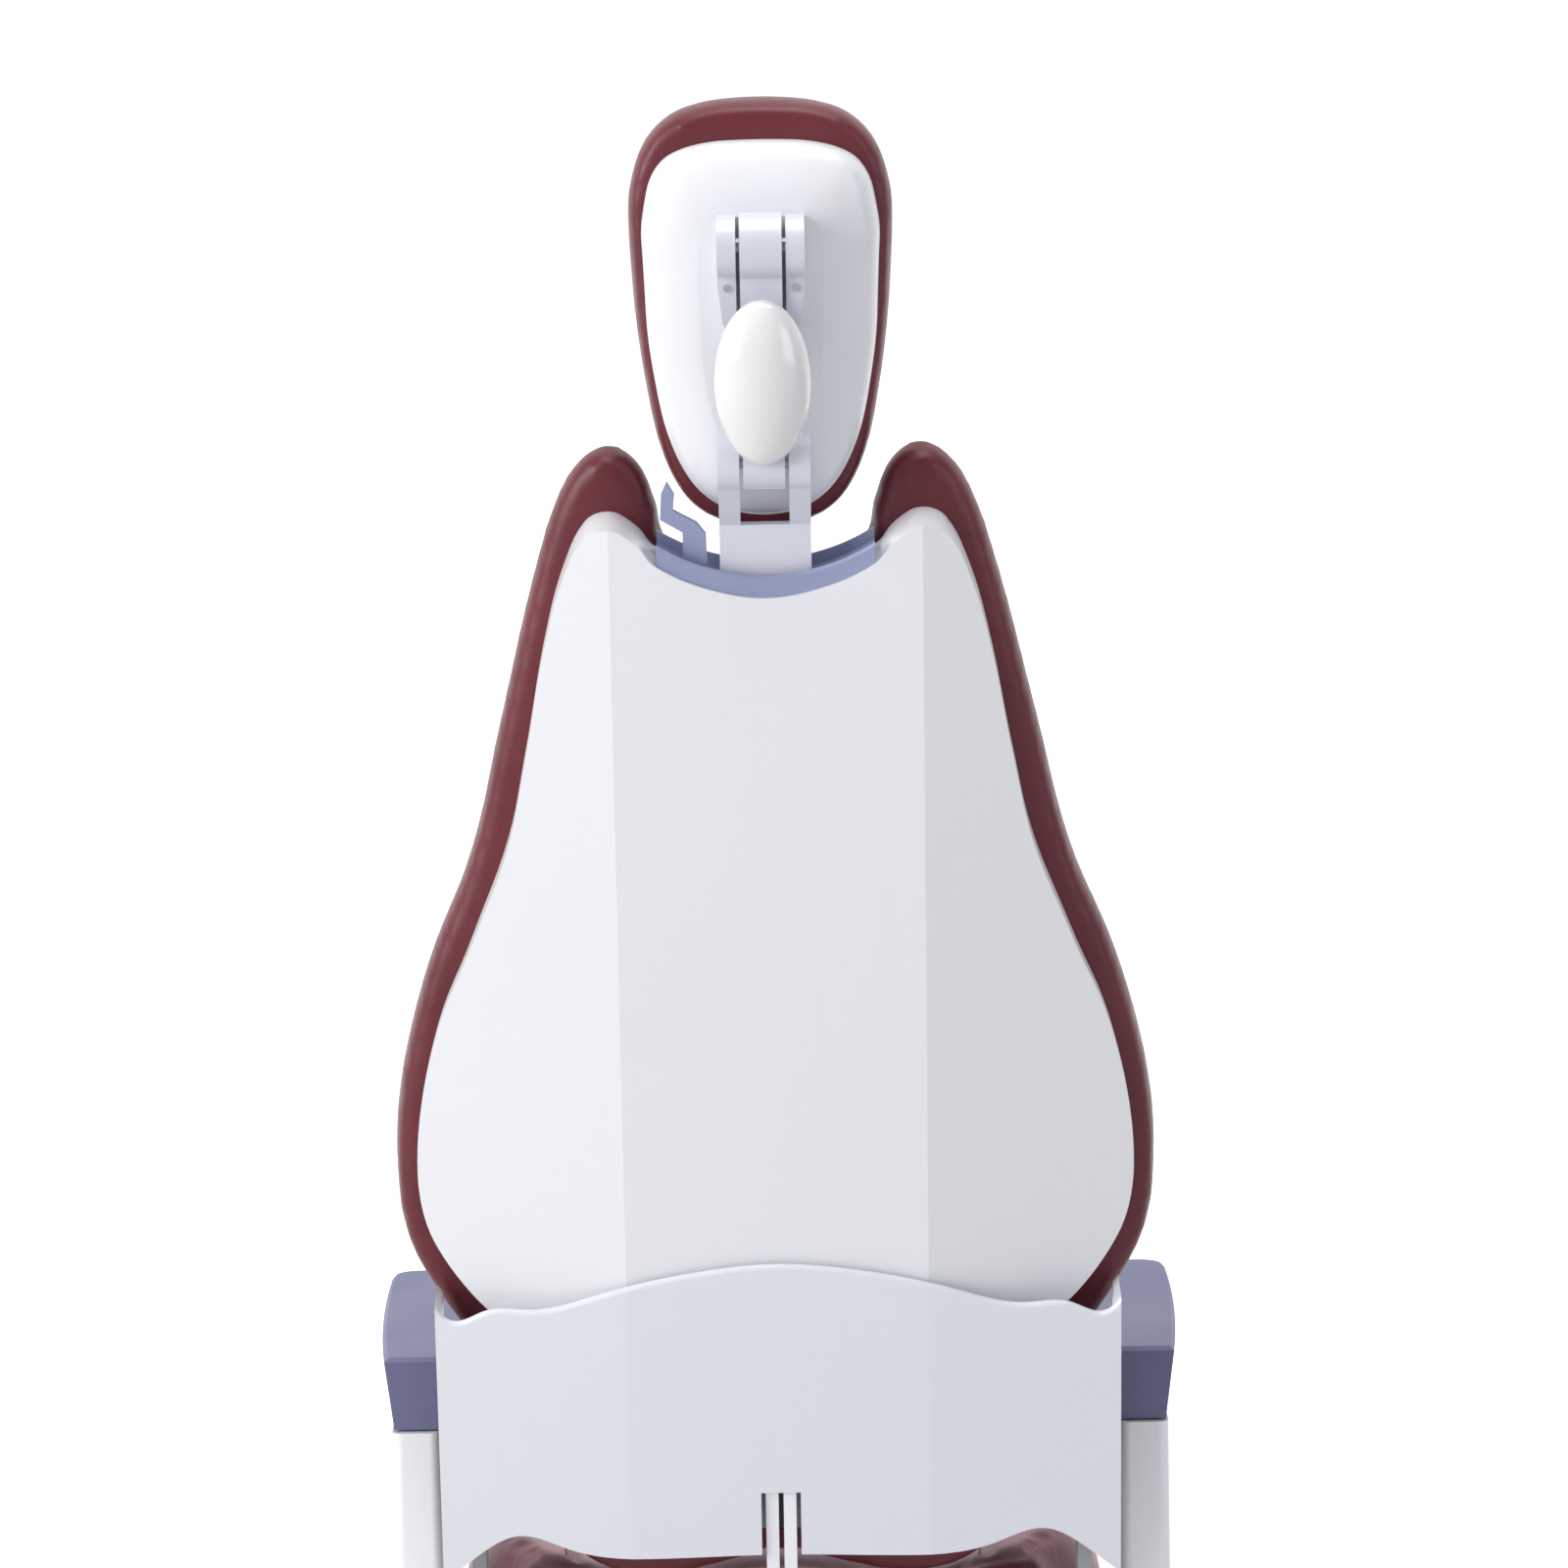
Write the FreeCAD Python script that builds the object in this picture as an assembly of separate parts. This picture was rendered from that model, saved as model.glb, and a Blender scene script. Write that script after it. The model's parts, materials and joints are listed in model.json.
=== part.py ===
"""Dental treatment chair: floor base, parallelogram lift, contoured seat, reclining back,
swing armrests and a double-jointed headrest on a sliding bar. Millimetres, +Z up.
The patient faces +Y and +X is the patient's right hand. The origin is the centre of the
floor anchor pattern, on the underside of the base plate."""

import FreeCAD
import Part
import math
import os

Vec = FreeCAD.Vector

# Clearances
RUNNING = 0.06        # radial play of a turning pin
OPEN_PIVOT = 0.5      # radial play at the pivot that closes the lift parallelogram
BODY_GAP = 1.5        # gap between pieces that slide or turn past each other

# Base plate and floor anchors
BASE_WIDTH = 480.0
BASE_LENGTH = 700.0
BASE_THICK = 18.0
BASE_CORNER = 70.0
BASE_EDGE = 4.0
ANCHOR_X = 390.0
ANCHOR_Y = 590.0
ANCHOR_R = 6.5

# Lift parallelogram: pivots at the front of the base, carriage pivots at the rear
ARM_LENGTH = 400.0
ARM_REST_ANGLE = -10.0    # arm below horizontal at the lowest seat
LIFT_TRAVEL = 48.0        # degrees from the lowest to the highest seat
PIVOT_Y = 190.0
PIVOT_LOW_Z = 140.0
PIVOT_SPACING = 85.0
PIVOT_PIN_R = 12.0
ARM_TUBE_R = 24.0
ARM_BAR_THICK = 16.0
ARM_BAR_HEIGHT = 44.0
ARM_HALF_WIDTH = 70.0
CHEEK_THICK = 10.0
CHEEK_GAP = 6.0           # arm tube end to cheek
TOWER_HALF_LENGTH = 42.0
CARRIAGE_TOP_Z = 339.0

# Lift drive: fixed screw actuator whose slotted end turns a crank on the lower arm
LIFT_CRANK_R = 78.0
CRANK_PIN_R = 8.0
SLOT_PLAY = 1.4
ACTUATOR_R = 24.0
MOTOR_R = 28.0
ROD_R = 10.0

# Recline hinge and drive
HINGE_Y = -215.0
HINGE_Z = 385.0
BACK_ANGLE = 12.0         # back leans behind vertical at rest
RECLINE_TRAVEL = 65.0
BACK_CRANK_R = 88.0
HINGE_PIN_R = 10.0
HINGE_LUG_R = 22.0
BUSH_WALL = 3.0

# Seat
SEAT_HALF = 236.0
SEAT_WAIST = 31.0         # drawn in at each side where the seat passes between the hinge lugs
SEAT_REAR_HALF = SEAT_HALF - SEAT_WAIST
SEAT_REAR_Y = -222.0
SEAT_FRONT_Y = 235.0
SEAT_TOP_Z = 414.0
SEAT_BOTTOM_Z = 362.0
SEAT_BOLSTER = 18.0       # height of the side bolsters over the hollows
SEAT_RIDGE = 12.0         # height of the ridge between the hollows
BOLSTER_X = 210.0
HOLLOW_X = 110.0
RAIL_X = 150.0
RAIL_WIDTH = 40.0
LEG_LENGTH = 470.0
LEG_SLOPE = 22.0
LEG_HALF_FRONT = 165.0
PAN_WALL = 4.0
PAN_BOTTOM_Z = 266.0
PAN_REAR_Y = -70.0
BOARD_THICK = 10.0
TRAY_INSET = 4.0          # tray side inside the cushion side
TRAY_HALF = SEAT_HALF - TRAY_INSET

# From the rear of the seat outwards: lugs of the back, ears of the seat, armrest posts
HINGE_SIDE_GAP = 7.0
LUG_SIDE_THICK = 10.0
EAR_GAP = 4.0
EAR_THICK = 10.0
POST_GAP = 9.0
POST_WIDTH = 36.0
LUG_SIDE_IN = SEAT_REAR_HALF + HINGE_SIDE_GAP
LUG_SIDE_OUT = LUG_SIDE_IN + LUG_SIDE_THICK
EAR_IN = LUG_SIDE_OUT + EAR_GAP
EAR_OUT = EAR_IN + EAR_THICK
POST_X_IN = EAR_OUT + POST_GAP
POST_X_OUT = POST_X_IN + POST_WIDTH

# Back, in its own upright frame: X across, Y forward from the hinge, Z up from the hinge
SHELL_CENTRE_W = -62.0    # rear face of the flat centre panel
CREASE_X = 106.0          # half width of the centre panel
FACET_SLOPE = 0.25        # how fast the side panels sweep forward
SHELL_FRONT_W = -14.0     # seam between the rear shell and the upholstery
SHELL_WALL = 4.0
BACK_CUSHION_FRONT_W = 50.0
CUSHION_TAPER = 0.03      # how fast the upholstery thins towards the top
CUSHION_CROWN = 7.0
CROWN_V = 400.0           # height of the fullest point
COVER_STANDOFF = 8.0      # hinge cover behind the shell
COVER_SLOPE = 0.07        # its side panels are flatter than the shell's
COVER_MARGIN = 19.0       # hinge cover side outside the hinge lugs
COVER_HALF = LUG_SIDE_OUT + COVER_MARGIN
COVER_FRONT_W = -18.0
NOTCH_HALF = 14.0
NOTCH_TOP_V = 140.0
CRANK_PLATE_THICK = 9.0
CRANK_PLATE_GAP = 3.6
FRAME_W = -34.0           # rear face of the steel back frame
FRAME_THICK = 4.0

# Headrest carrier
BAR_WIDTH = 62.0
BAR_THICK = 8.0
BAR_W = -44.0             # middle of the bar's thickness
BAR_BOTTOM_V = 590.0
FORK_WINDOW_V = 847.0
LOW_HINGE_V = 897.0
LOW_HINGE_W = -66.0
LOW_KNUCKLE_R = 19.0
TOP_HINGE_V = 1045.0
TOP_HINGE_W = -66.0
TOP_KNUCKLE_R = 22.0
KNUCKLE_STEP = 1.5        # outer knuckles of the upper joint below the middle one
KNUCKLE_GAP = 2.6
CENTRE_KNUCKLE = 28.0
TOP_OUTER = 58.0
HEAD_PIN_R = 5.0
LINK_THICK = 16.0
PADDLE_HEIGHT = 113.0
PADDLE_WIDTH = 64.0
PADDLE_THICK = 20.0
PADDLE_V = 957.0
HEAD_SHELL_REAR_W = -40.0
HEAD_SHELL_FRONT_W = -10.0
HEAD_CUSHION_FRONT_W = 52.0

# Armrests
POST_Y_REAR = -215.0
POST_Y_FRONT = -160.0
ARM_TOP_Z = 588.0
PAD_REAR_THICK = 54.0
PAD_FRONT_THICK = 32.0
PAD_LENGTH = 330.0
PAD_WIDTH = 59.0
PAD_X_IN = EAR_IN
PAD_X_OUT = PAD_X_IN + PAD_WIDTH
PAD_BULGE = 10.0
PAD_FLARE = 12.0          # pad widens outwards towards the front
PAD_NOSE_R = 20.0
SPINDLE_R = 9.0
SPINDLE_UP = 34.0

# Half outlines from the top centre to the bottom centre, as (across, up the back)
SHELL_HALF = [(0, 799), (40, 806), (74, 822), (89, 839), (106, 848), (123, 841), (140, 805),
              (153, 755), (167, 680), (181, 615), (208, 543), (234, 478), (250, 400),
              (248, 338), (226, 294), (192, 262), (140, 250), (0, 248)]
CUSHION_HALF = [(0, 800), (40, 806), (68, 821), (74, 848), (86, 877), (105, 889), (125, 880),
                (143, 851), (162, 790), (185, 695), (208, 600), (242, 512), (262, 435),
                (268, 372), (262, 312), (238, 262), (LUG_SIDE_IN - 2, 222),
                (LUG_SIDE_IN - 14, 170), (LUG_SIDE_IN - 22, 112), (158, 74), (125, 50), (85, 45),
                (42, 56), (0, 68)]
CROWN_HALF = [(0, 752), (70, 738), (115, 680), (150, 590), (196, 480), (214, 390), (200, 290),
              (165, 190), (118, 128), (0, 112)]
COVER_TOP = [(0, 314), (60, 308), (120, 294), (COVER_HALF - 66, 280), (COVER_HALF - 36, 279),
             (COVER_HALF - 17, 271), (COVER_HALF, 282)]
COVER_BOTTOM = [(COVER_HALF, 70), (COVER_HALF - 24, 90), (COVER_HALF - 56, 107), (COVER_HALF - 90, 97),
                (96, 90), (0, 92)]
HEAD_SHELL_HALF = [(0, 1104), (46, 1100), (69, 1086), (79, 1052), (79, 1020), (75, 955),
                   (61, 891), (37, 856), (0, 845)]
HEAD_CUSHION_HALF = [(0, 1127), (49, 1121), (74, 1103), (87, 1070), (88, 1030), (81, 945),
                     (66, 875), (42, 842), (0, 832)]
HEAD_FACE_HALF = [(0, 1068), (27, 1064), (38, 1052), (42, 1034), (42, 1010), (39, 950),
                  (30, 910), (17, 892), (0, 887)]

os.makedirs("parts", exist_ok=True)


def box(x0, x1, y0, y1, z0, z1):
    return Part.makeBox(x1 - x0, y1 - y0, z1 - z0, Vec(x0, y0, z0))


def rod_x(r, x0, x1, y, z):
    return Part.makeCylinder(r, x1 - x0, Vec(x0, y, z), Vec(1, 0, 0))


def rod_y(r, y0, y1, x, z):
    return Part.makeCylinder(r, y1 - y0, Vec(x, y0, z), Vec(0, 1, 0))


def rod_z(r, z0, z1, x, y):
    return Part.makeCylinder(r, z1 - z0, Vec(x, y, z0), Vec(0, 0, 1))


def plate_x(points, x0, x1):
    """Flat plate from a (y, z) polygon, between two x planes."""
    ring = [Vec(x0, y, z) for y, z in points]
    return Part.Face(Part.makePolygon(ring + ring[:1])).extrude(Vec(x1 - x0, 0, 0))


def plate_z(points, z0, z1):
    """Flat plate from an (x, y) polygon, between two z planes."""
    ring = [Vec(x, y, z0) for x, y in points]
    return Part.Face(Part.makePolygon(ring + ring[:1])).extrude(Vec(0, 0, z1 - z0))


def fuse(first, *others):
    return first.fuse(list(others)).removeSplitter()


def mirror_x(shape):
    return shape.mirror(Vec(0, 0, 0), Vec(1, 0, 0))


def rounded_slab(x, y, r, z0, z1):
    """Rectangular slab centred on the origin with round vertical corners."""
    slab = box(-x / 2, x / 2, -y / 2, y / 2, z0, z1)
    upright = [e for e in slab.Edges if abs(e.tangentAt(e.FirstParameter).z) > 0.9]
    return slab.makeFillet(r, upright)


def unit(p):
    length = math.hypot(p[0], p[1])
    return (p[0] / length, p[1] / length)


def biarc(p, tp, q, tq):
    """Meeting point of two arcs that run from p to q with the given end directions."""
    dx, dy = q[0] - p[0], q[1] - p[1]
    sx, sy = tp[0] + tq[0], tp[1] + tq[1]
    bend = 2 * (1 - tp[0] * tq[0] - tp[1] * tq[1])
    along = dx * sx + dy * sy
    span = dx * dx + dy * dy
    if bend < 1e-6:
        reach = span / (2 * along)
    else:
        reach = (math.sqrt(along * along + bend * span) - along) / bend
    return ((p[0] + q[0] + reach * (tp[0] - tq[0])) / 2,
            (p[1] + q[1] + reach * (tp[1] - tq[1])) / 2)


def arc_middle(p, tp, q):
    """Middle point of the arc from p to q that leaves p in direction tp."""
    cx, cy = q[0] - p[0], q[1] - p[1]
    chord = math.hypot(cx, cy)
    side = (tp[0] * -cy + tp[1] * cx) / chord
    angle = math.asin(max(-1.0, min(1.0, side)))
    rise = chord / 2 * math.tan(angle / 2)
    return ((p[0] + q[0]) / 2 - cy / chord * rise, (p[1] + q[1]) / 2 + cx / chord * rise)


class Outline:
    """Closed smooth outline of tangent arcs, symmetric about x = 0, that can be drawn in."""

    def __init__(self, half):
        left = [(-x, z) for x, z in reversed(half[1:-1])]
        self.points = [(float(x), float(z)) for x, z in half] + left
        count = len(self.points)
        self.tangents = []
        for i in range(count):
            a, b = self.points[i - 1], self.points[(i + 1) % count]
            self.tangents.append(unit((b[0] - a[0], b[1] - a[1])))

    def wire(self, inset, place):
        """Wire drawn in by inset; place turns an outline point into a space point."""
        pts = [(p[0] + t[1] * inset, p[1] - t[0] * inset)
               for p, t in zip(self.points, self.tangents)]
        edges = []
        for i in range(len(pts)):
            j = (i + 1) % len(pts)
            meet = biarc(pts[i], self.tangents[i], pts[j], self.tangents[j])
            back = (-self.tangents[j][0], -self.tangents[j][1])
            for a, b, mid in ((pts[i], meet, arc_middle(pts[i], self.tangents[i], meet)),
                              (meet, pts[j], arc_middle(pts[j], back, meet))):
                edges.append(Part.Arc(place(a), place(mid), place(b)).toShape())
        return Part.Wire(edges)


def upright(w):
    """Places outline points on the plane Y = w of the back's own frame."""
    return lambda p: Vec(p[0], w, p[1])


def layered(outline, layers):
    """Soft or domed form: the outline drawn in by each layer's inset at that layer's depth."""
    wires = [outline.wire(inset, upright(w)) for w, inset in layers]
    return Part.makeLoft(wires, True, False)


def leaning(w, taper, middle, scale=1.0):
    """Places points on a plane that leans by taper, shrunk by scale towards the middle height."""
    return lambda p: Vec(p[0] * scale, w - taper * (p[1] - middle) * scale,
                         middle + (p[1] - middle) * scale)


def crown(outline, inset, plane, rise):
    """Shallow swell on a cushion face; plane gives the placing at a height and a scale."""
    steps = ((0.0, 1.0), (0.62, 0.78), (1.0, 0.45))
    wires = [outline.wire(inset, plane(rise * share, scale)) for share, scale in steps]
    return Part.makeLoft(wires, True, False, False, 2)


def slab_of(outline, inset, w0, w1):
    """Straight-sided slab of an outline between two depths."""
    return Part.Face(outline.wire(inset, upright(w0))).extrude(Vec(0, w1 - w0, 0))


def on_back(shape):
    """Moves a shape from the back's own frame to its rest position on the chair."""
    placed = shape.copy()
    placed.rotate(Vec(0, 0, 0), Vec(1, 0, 0), BACK_ANGLE)
    placed.translate(Vec(0, HINGE_Y, HINGE_Z))
    return placed


def export(name, shape):
    shape.exportStep("parts/" + name + ".step")


# Base plate with floor anchor holes
base_plate = rounded_slab(BASE_WIDTH, BASE_LENGTH, BASE_CORNER, 0, BASE_THICK)
rim = [e for e in base_plate.Edges if e.BoundBox.ZMin > BASE_THICK - 0.01]
base_plate = base_plate.makeChamfer(BASE_EDGE, rim)
for sx in (-1, 1):
    for sy in (-1, 1):
        hole = rod_z(ANCHOR_R, -1, BASE_THICK + 1, sx * ANCHOR_X / 2, sy * ANCHOR_Y / 2)
        base_plate = base_plate.cut(hole)

# Lift pivots
rest_rad = math.radians(ARM_REST_ANGLE)
PIVOT_HIGH_Z = PIVOT_LOW_Z + PIVOT_SPACING
CARRIAGE_Y = PIVOT_Y - ARM_LENGTH * math.cos(rest_rad)
CARRIAGE_LOW_Z = PIVOT_LOW_Z + ARM_LENGTH * math.sin(rest_rad)
CARRIAGE_HIGH_Z = CARRIAGE_LOW_Z + PIVOT_SPACING
CHEEK_IN = ARM_HALF_WIDTH + CHEEK_GAP
CHEEK_OUT = CHEEK_IN + CHEEK_THICK
TOWER_TOP_R = ARM_TUBE_R
PIN_OUT = CHEEK_OUT + 2.0

# Pivot tower: two cheeks on bolted feet, tied by a front web
FOOT_OUT = CHEEK_OUT + 20.0
FOOT_THICK = 10.0
WEB_Y = PIVOT_Y + 66.0
WEB_THICK = 8.0
tower_rear = PIVOT_Y - TOWER_HALF_LENGTH
cheek = fuse(
    plate_x([(tower_rear, BASE_THICK), (WEB_Y + WEB_THICK, BASE_THICK),
             (WEB_Y + WEB_THICK, PIVOT_LOW_Z), (PIVOT_Y + TOWER_TOP_R, PIVOT_HIGH_Z),
             (PIVOT_Y - TOWER_TOP_R, PIVOT_HIGH_Z), (tower_rear, PIVOT_LOW_Z)],
            CHEEK_IN, CHEEK_OUT),
    rod_x(TOWER_TOP_R, CHEEK_IN, CHEEK_OUT, PIVOT_Y, PIVOT_HIGH_Z),
    box(CHEEK_OUT, FOOT_OUT, tower_rear, WEB_Y + WEB_THICK,
        BASE_THICK, BASE_THICK + FOOT_THICK))
web = box(-CHEEK_IN, CHEEK_IN, WEB_Y, WEB_Y + WEB_THICK, BASE_THICK, PIVOT_LOW_Z)
pivot_tower = fuse(cheek, mirror_x(cheek), web)
for z in (PIVOT_LOW_Z, PIVOT_HIGH_Z):
    pivot_tower = pivot_tower.cut(rod_x(PIVOT_PIN_R, -PIN_OUT, PIN_OUT, PIVOT_Y, z))

# Hexagon head bolts of the tower feet
BOLT_AF = 13.0
BOLT_HEAD = 6.0
bolt_y = (tower_rear + 14.0, WEB_Y + WEB_THICK - 14.0)
bolt_x = (CHEEK_OUT + FOOT_OUT) / 2
heads = []
for x in (-bolt_x, bolt_x):
    for y in bolt_y:
        ring = [(x + BOLT_AF / math.sqrt(3) * math.cos(math.radians(60 * k + 30)),
                 y + BOLT_AF / math.sqrt(3) * math.sin(math.radians(60 * k + 30)))
                for k in range(6)]
        top = BASE_THICK + FOOT_THICK
        heads.append(plate_z(ring, top, top + BOLT_HEAD))
tower_bolts = Part.makeCompound(heads)


def pivot_pins(y, low_z, high_z):
    pins = [rod_x(PIVOT_PIN_R, -PIN_OUT, PIN_OUT, y, z) for z in (low_z, high_z)]
    return Part.makeCompound(pins)


base_pivot_pins = pivot_pins(PIVOT_Y, PIVOT_LOW_Z, PIVOT_HIGH_Z)
carriage_pivot_pins = pivot_pins(CARRIAGE_Y, CARRIAGE_LOW_Z, CARRIAGE_HIGH_Z)

# Side decks of the base
DECK_IN = 114.0
DECK_OUT = 222.0
DECK_TOP_Z = 66.0
DECK_END = 20.0
DECK_ROUND = 16.0
deck_half = BASE_LENGTH / 2 - DECK_END
deck = box(DECK_IN, DECK_OUT, -deck_half, deck_half, BASE_THICK, DECK_TOP_Z)
corners = [e for e in deck.Edges
           if abs(e.tangentAt(e.FirstParameter).z) > 0.9 and e.BoundBox.XMin > DECK_IN + 1]
deck = deck.makeFillet(BASE_CORNER - DECK_END, corners)
rim = [e for e in deck.Edges if e.BoundBox.ZMin > DECK_TOP_Z - 0.01]
deck = deck.makeFillet(DECK_ROUND, rim)
inner = box(DECK_IN + PAN_WALL, DECK_OUT - PAN_WALL - DECK_ROUND / 2,
            -deck_half + BASE_CORNER - DECK_END, deck_half - BASE_CORNER + DECK_END,
            BASE_THICK, DECK_TOP_Z - PAN_WALL)
base_cover_right = deck.cut(inner)
base_cover_left = mirror_x(base_cover_right)

# Cover over the pivot tower, open towards the arms
HOOD_OUT = 110.0
HOOD_FRONT_Y = WEB_Y + WEB_THICK + 20.0
HOOD_TOP_Z = PIVOT_HIGH_Z + TOWER_TOP_R + 7.0
HOOD_ROOF_Y = PIVOT_Y + 8.0
HOOD_WALL = 3.0
HOOD_ROUND = 10.0
HOOD_SLOPE = 34.0
HOOD_REAR_Y = tower_rear - 24.0
HOOD_REAR_Z = PIVOT_LOW_Z - 20.0
HOOD_SHOULDER_Z = PIVOT_HIGH_Z - 30.0
hood_side = [(HOOD_REAR_Y, BASE_THICK), (HOOD_FRONT_Y, BASE_THICK), (HOOD_FRONT_Y, HOOD_SHOULDER_Z),
             (HOOD_FRONT_Y - HOOD_SLOPE, HOOD_TOP_Z), (HOOD_ROOF_Y, HOOD_TOP_Z),
             (HOOD_REAR_Y, HOOD_REAR_Z)]
hood = plate_x(hood_side, -HOOD_OUT, HOOD_OUT)
front_edges = [e for e in hood.Edges
               if e.BoundBox.YMin > HOOD_FRONT_Y - HOOD_SLOPE - 1 and e.BoundBox.ZMin > BASE_THICK + 1
               and e.BoundBox.XLength > HOOD_OUT]
hood = hood.makeFillet(HOOD_ROUND, front_edges)
hood_in_y = HOOD_FRONT_Y - HOOD_WALL
hood_in_z = HOOD_TOP_Z - HOOD_WALL
open_y = HOOD_REAR_Y - HOOD_WALL
open_z = HOOD_TOP_Z + HOOD_WALL
hollow_side = [(open_y, BASE_THICK - 1), (hood_in_y, BASE_THICK - 1),
               (hood_in_y, HOOD_SHOULDER_Z - HOOD_WALL), (hood_in_y - HOOD_SLOPE, hood_in_z),
               (HOOD_ROOF_Y, hood_in_z), (HOOD_ROOF_Y, open_z), (open_y, open_z)]
hollow = plate_x(hollow_side, -HOOD_OUT + HOOD_WALL, HOOD_OUT - HOOD_WALL)
tower_cover = hood.cut(hollow)

# Lift arms: two bars between bored tubes
DRIVE_HALF = math.radians(LIFT_TRAVEL / 2)
lift_pin_y = PIVOT_Y + LIFT_CRANK_R * math.sin(DRIVE_HALF)
lift_pin_z = PIVOT_LOW_Z - LIFT_CRANK_R * math.cos(DRIVE_HALF)


def lift_arm(base_z, end_z, end_play):
    """One arm of the parallelogram at rest, from the base pivot to the carriage pivot."""
    dy, dz = CARRIAGE_Y - PIVOT_Y, end_z - base_z
    nx, nz = -dz / ARM_LENGTH, dy / ARM_LENGTH
    h = ARM_BAR_HEIGHT / 2
    bar = plate_x([(PIVOT_Y + nx * h, base_z + nz * h), (PIVOT_Y - nx * h, base_z - nz * h),
                   (CARRIAGE_Y - nx * h, end_z - nz * h), (CARRIAGE_Y + nx * h, end_z + nz * h)],
                  ARM_HALF_WIDTH - ARM_BAR_THICK, ARM_HALF_WIDTH)
    arm = fuse(bar, mirror_x(bar),
               rod_x(ARM_TUBE_R, -ARM_HALF_WIDTH, ARM_HALF_WIDTH, PIVOT_Y, base_z),
               rod_x(ARM_TUBE_R, -ARM_HALF_WIDTH, ARM_HALF_WIDTH, CARRIAGE_Y, end_z))
    reach = ARM_HALF_WIDTH + 1
    arm = arm.cut(rod_x(PIVOT_PIN_R + RUNNING, -reach, reach, PIVOT_Y, base_z))
    return arm.cut(rod_x(PIVOT_PIN_R + end_play, -reach, reach, CARRIAGE_Y, end_z))


upper_lift_arm = lift_arm(PIVOT_HIGH_Z, CARRIAGE_HIGH_Z, OPEN_PIVOT)

# Crank lugs of the lower arm and the pin they carry
LUG_IN = 8.5
LUG_THICK = 8.0
LUG_R = 17.0
lug_side = math.cos(DRIVE_HALF) * LUG_R, math.sin(DRIVE_HALF) * LUG_R
lug = fuse(plate_x([(PIVOT_Y + lug_side[0], PIVOT_LOW_Z + lug_side[1]),
                    (PIVOT_Y - lug_side[0], PIVOT_LOW_Z - lug_side[1]),
                    (lift_pin_y - lug_side[0], lift_pin_z - lug_side[1]),
                    (lift_pin_y + lug_side[0], lift_pin_z + lug_side[1])],
                   LUG_IN, LUG_IN + LUG_THICK),
           rod_x(LUG_R, LUG_IN, LUG_IN + LUG_THICK, lift_pin_y, lift_pin_z))
lug = lug.cut(rod_x(ARM_TUBE_R - 2, 0, ARM_HALF_WIDTH, PIVOT_Y, PIVOT_LOW_Z))
lower_lift_arm = lift_arm(PIVOT_LOW_Z, CARRIAGE_LOW_Z, RUNNING)
lower_lift_arm = fuse(lower_lift_arm, lug, mirror_x(lug))
lug_out = LUG_IN + LUG_THICK
lower_lift_arm = lower_lift_arm.cut(
    rod_x(CRANK_PIN_R, -lug_out - 1, lug_out + 1, lift_pin_y, lift_pin_z))
lift_crank_pin = rod_x(CRANK_PIN_R, -lug_out, lug_out, lift_pin_y, lift_pin_z)

# Cover over the upper arm
COVER_GAP = 4.0
COVER_SHEET = 3.0
COVER_START = 44.0
COVER_STOP = ARM_LENGTH - 50.0
sleeve_half = ARM_HALF_WIDTH + COVER_SHEET
low, high = -ARM_BAR_HEIGHT / 2, ARM_BAR_HEIGHT / 2 + COVER_GAP
sleeve = box(-sleeve_half, sleeve_half, -COVER_STOP, -COVER_START, low, high + COVER_SHEET)
top_edges = [e for e in sleeve.Edges
             if e.BoundBox.ZMin > high and e.BoundBox.YLength > COVER_START]
sleeve = sleeve.makeFillet(COVER_SHEET, top_edges)
sleeve = sleeve.cut(box(-ARM_HALF_WIDTH, ARM_HALF_WIDTH, -COVER_STOP, -COVER_START, low, high))
sleeve.rotate(Vec(0, 0, 0), Vec(1, 0, 0), -ARM_REST_ANGLE)
sleeve.translate(Vec(0, PIVOT_Y, PIVOT_HIGH_Z))
lift_arm_cover = sleeve

# Lift actuator lying on the base plate, with a slotted rod end
lift_axis_z = PIVOT_LOW_Z - LIFT_CRANK_R * (1 + math.cos(DRIVE_HALF)) / 2
lift_stroke = 2 * LIFT_CRANK_R * math.sin(DRIVE_HALF)
END_HALF = 20.0
END_THICK = 14.0
lift_tube_front = lift_pin_y - END_HALF - lift_stroke - 8.0
LIFT_TUBE = 150.0
LIFT_MOTOR = 92.0
lift_tube_rear = lift_tube_front - LIFT_TUBE
lift_actuator = fuse(
    rod_y(ACTUATOR_R, lift_tube_rear, lift_tube_front, 0, lift_axis_z),
    rod_y(MOTOR_R, lift_tube_rear - LIFT_MOTOR, lift_tube_rear, 0, lift_axis_z),
    box(-ACTUATOR_R, ACTUATOR_R, lift_tube_rear + 20, lift_tube_front - 20,
        BASE_THICK, lift_axis_z))
lift_actuator = lift_actuator.cut(
    rod_y(ROD_R + RUNNING, lift_tube_rear + 6, lift_tube_front + 1, 0, lift_axis_z))


def slotted_end(half, x0, x1, y, z, pin_drop):
    """Rod end plate with an upright slot that lets the crank pin rise and fall."""
    plate = box(x0, x1, y - half, y + half, z - half - pin_drop / 2, z + half + pin_drop / 2)
    slot_half = CRANK_PIN_R + SLOT_PLAY
    slot = fuse(box(x0 - 1, x1 + 1, y - slot_half, y + slot_half,
                    z - pin_drop / 2, z + pin_drop / 2),
                rod_x(slot_half, x0 - 1, x1 + 1, y, z - pin_drop / 2),
                rod_x(slot_half, x0 - 1, x1 + 1, y, z + pin_drop / 2))
    return plate.cut(slot)


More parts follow.
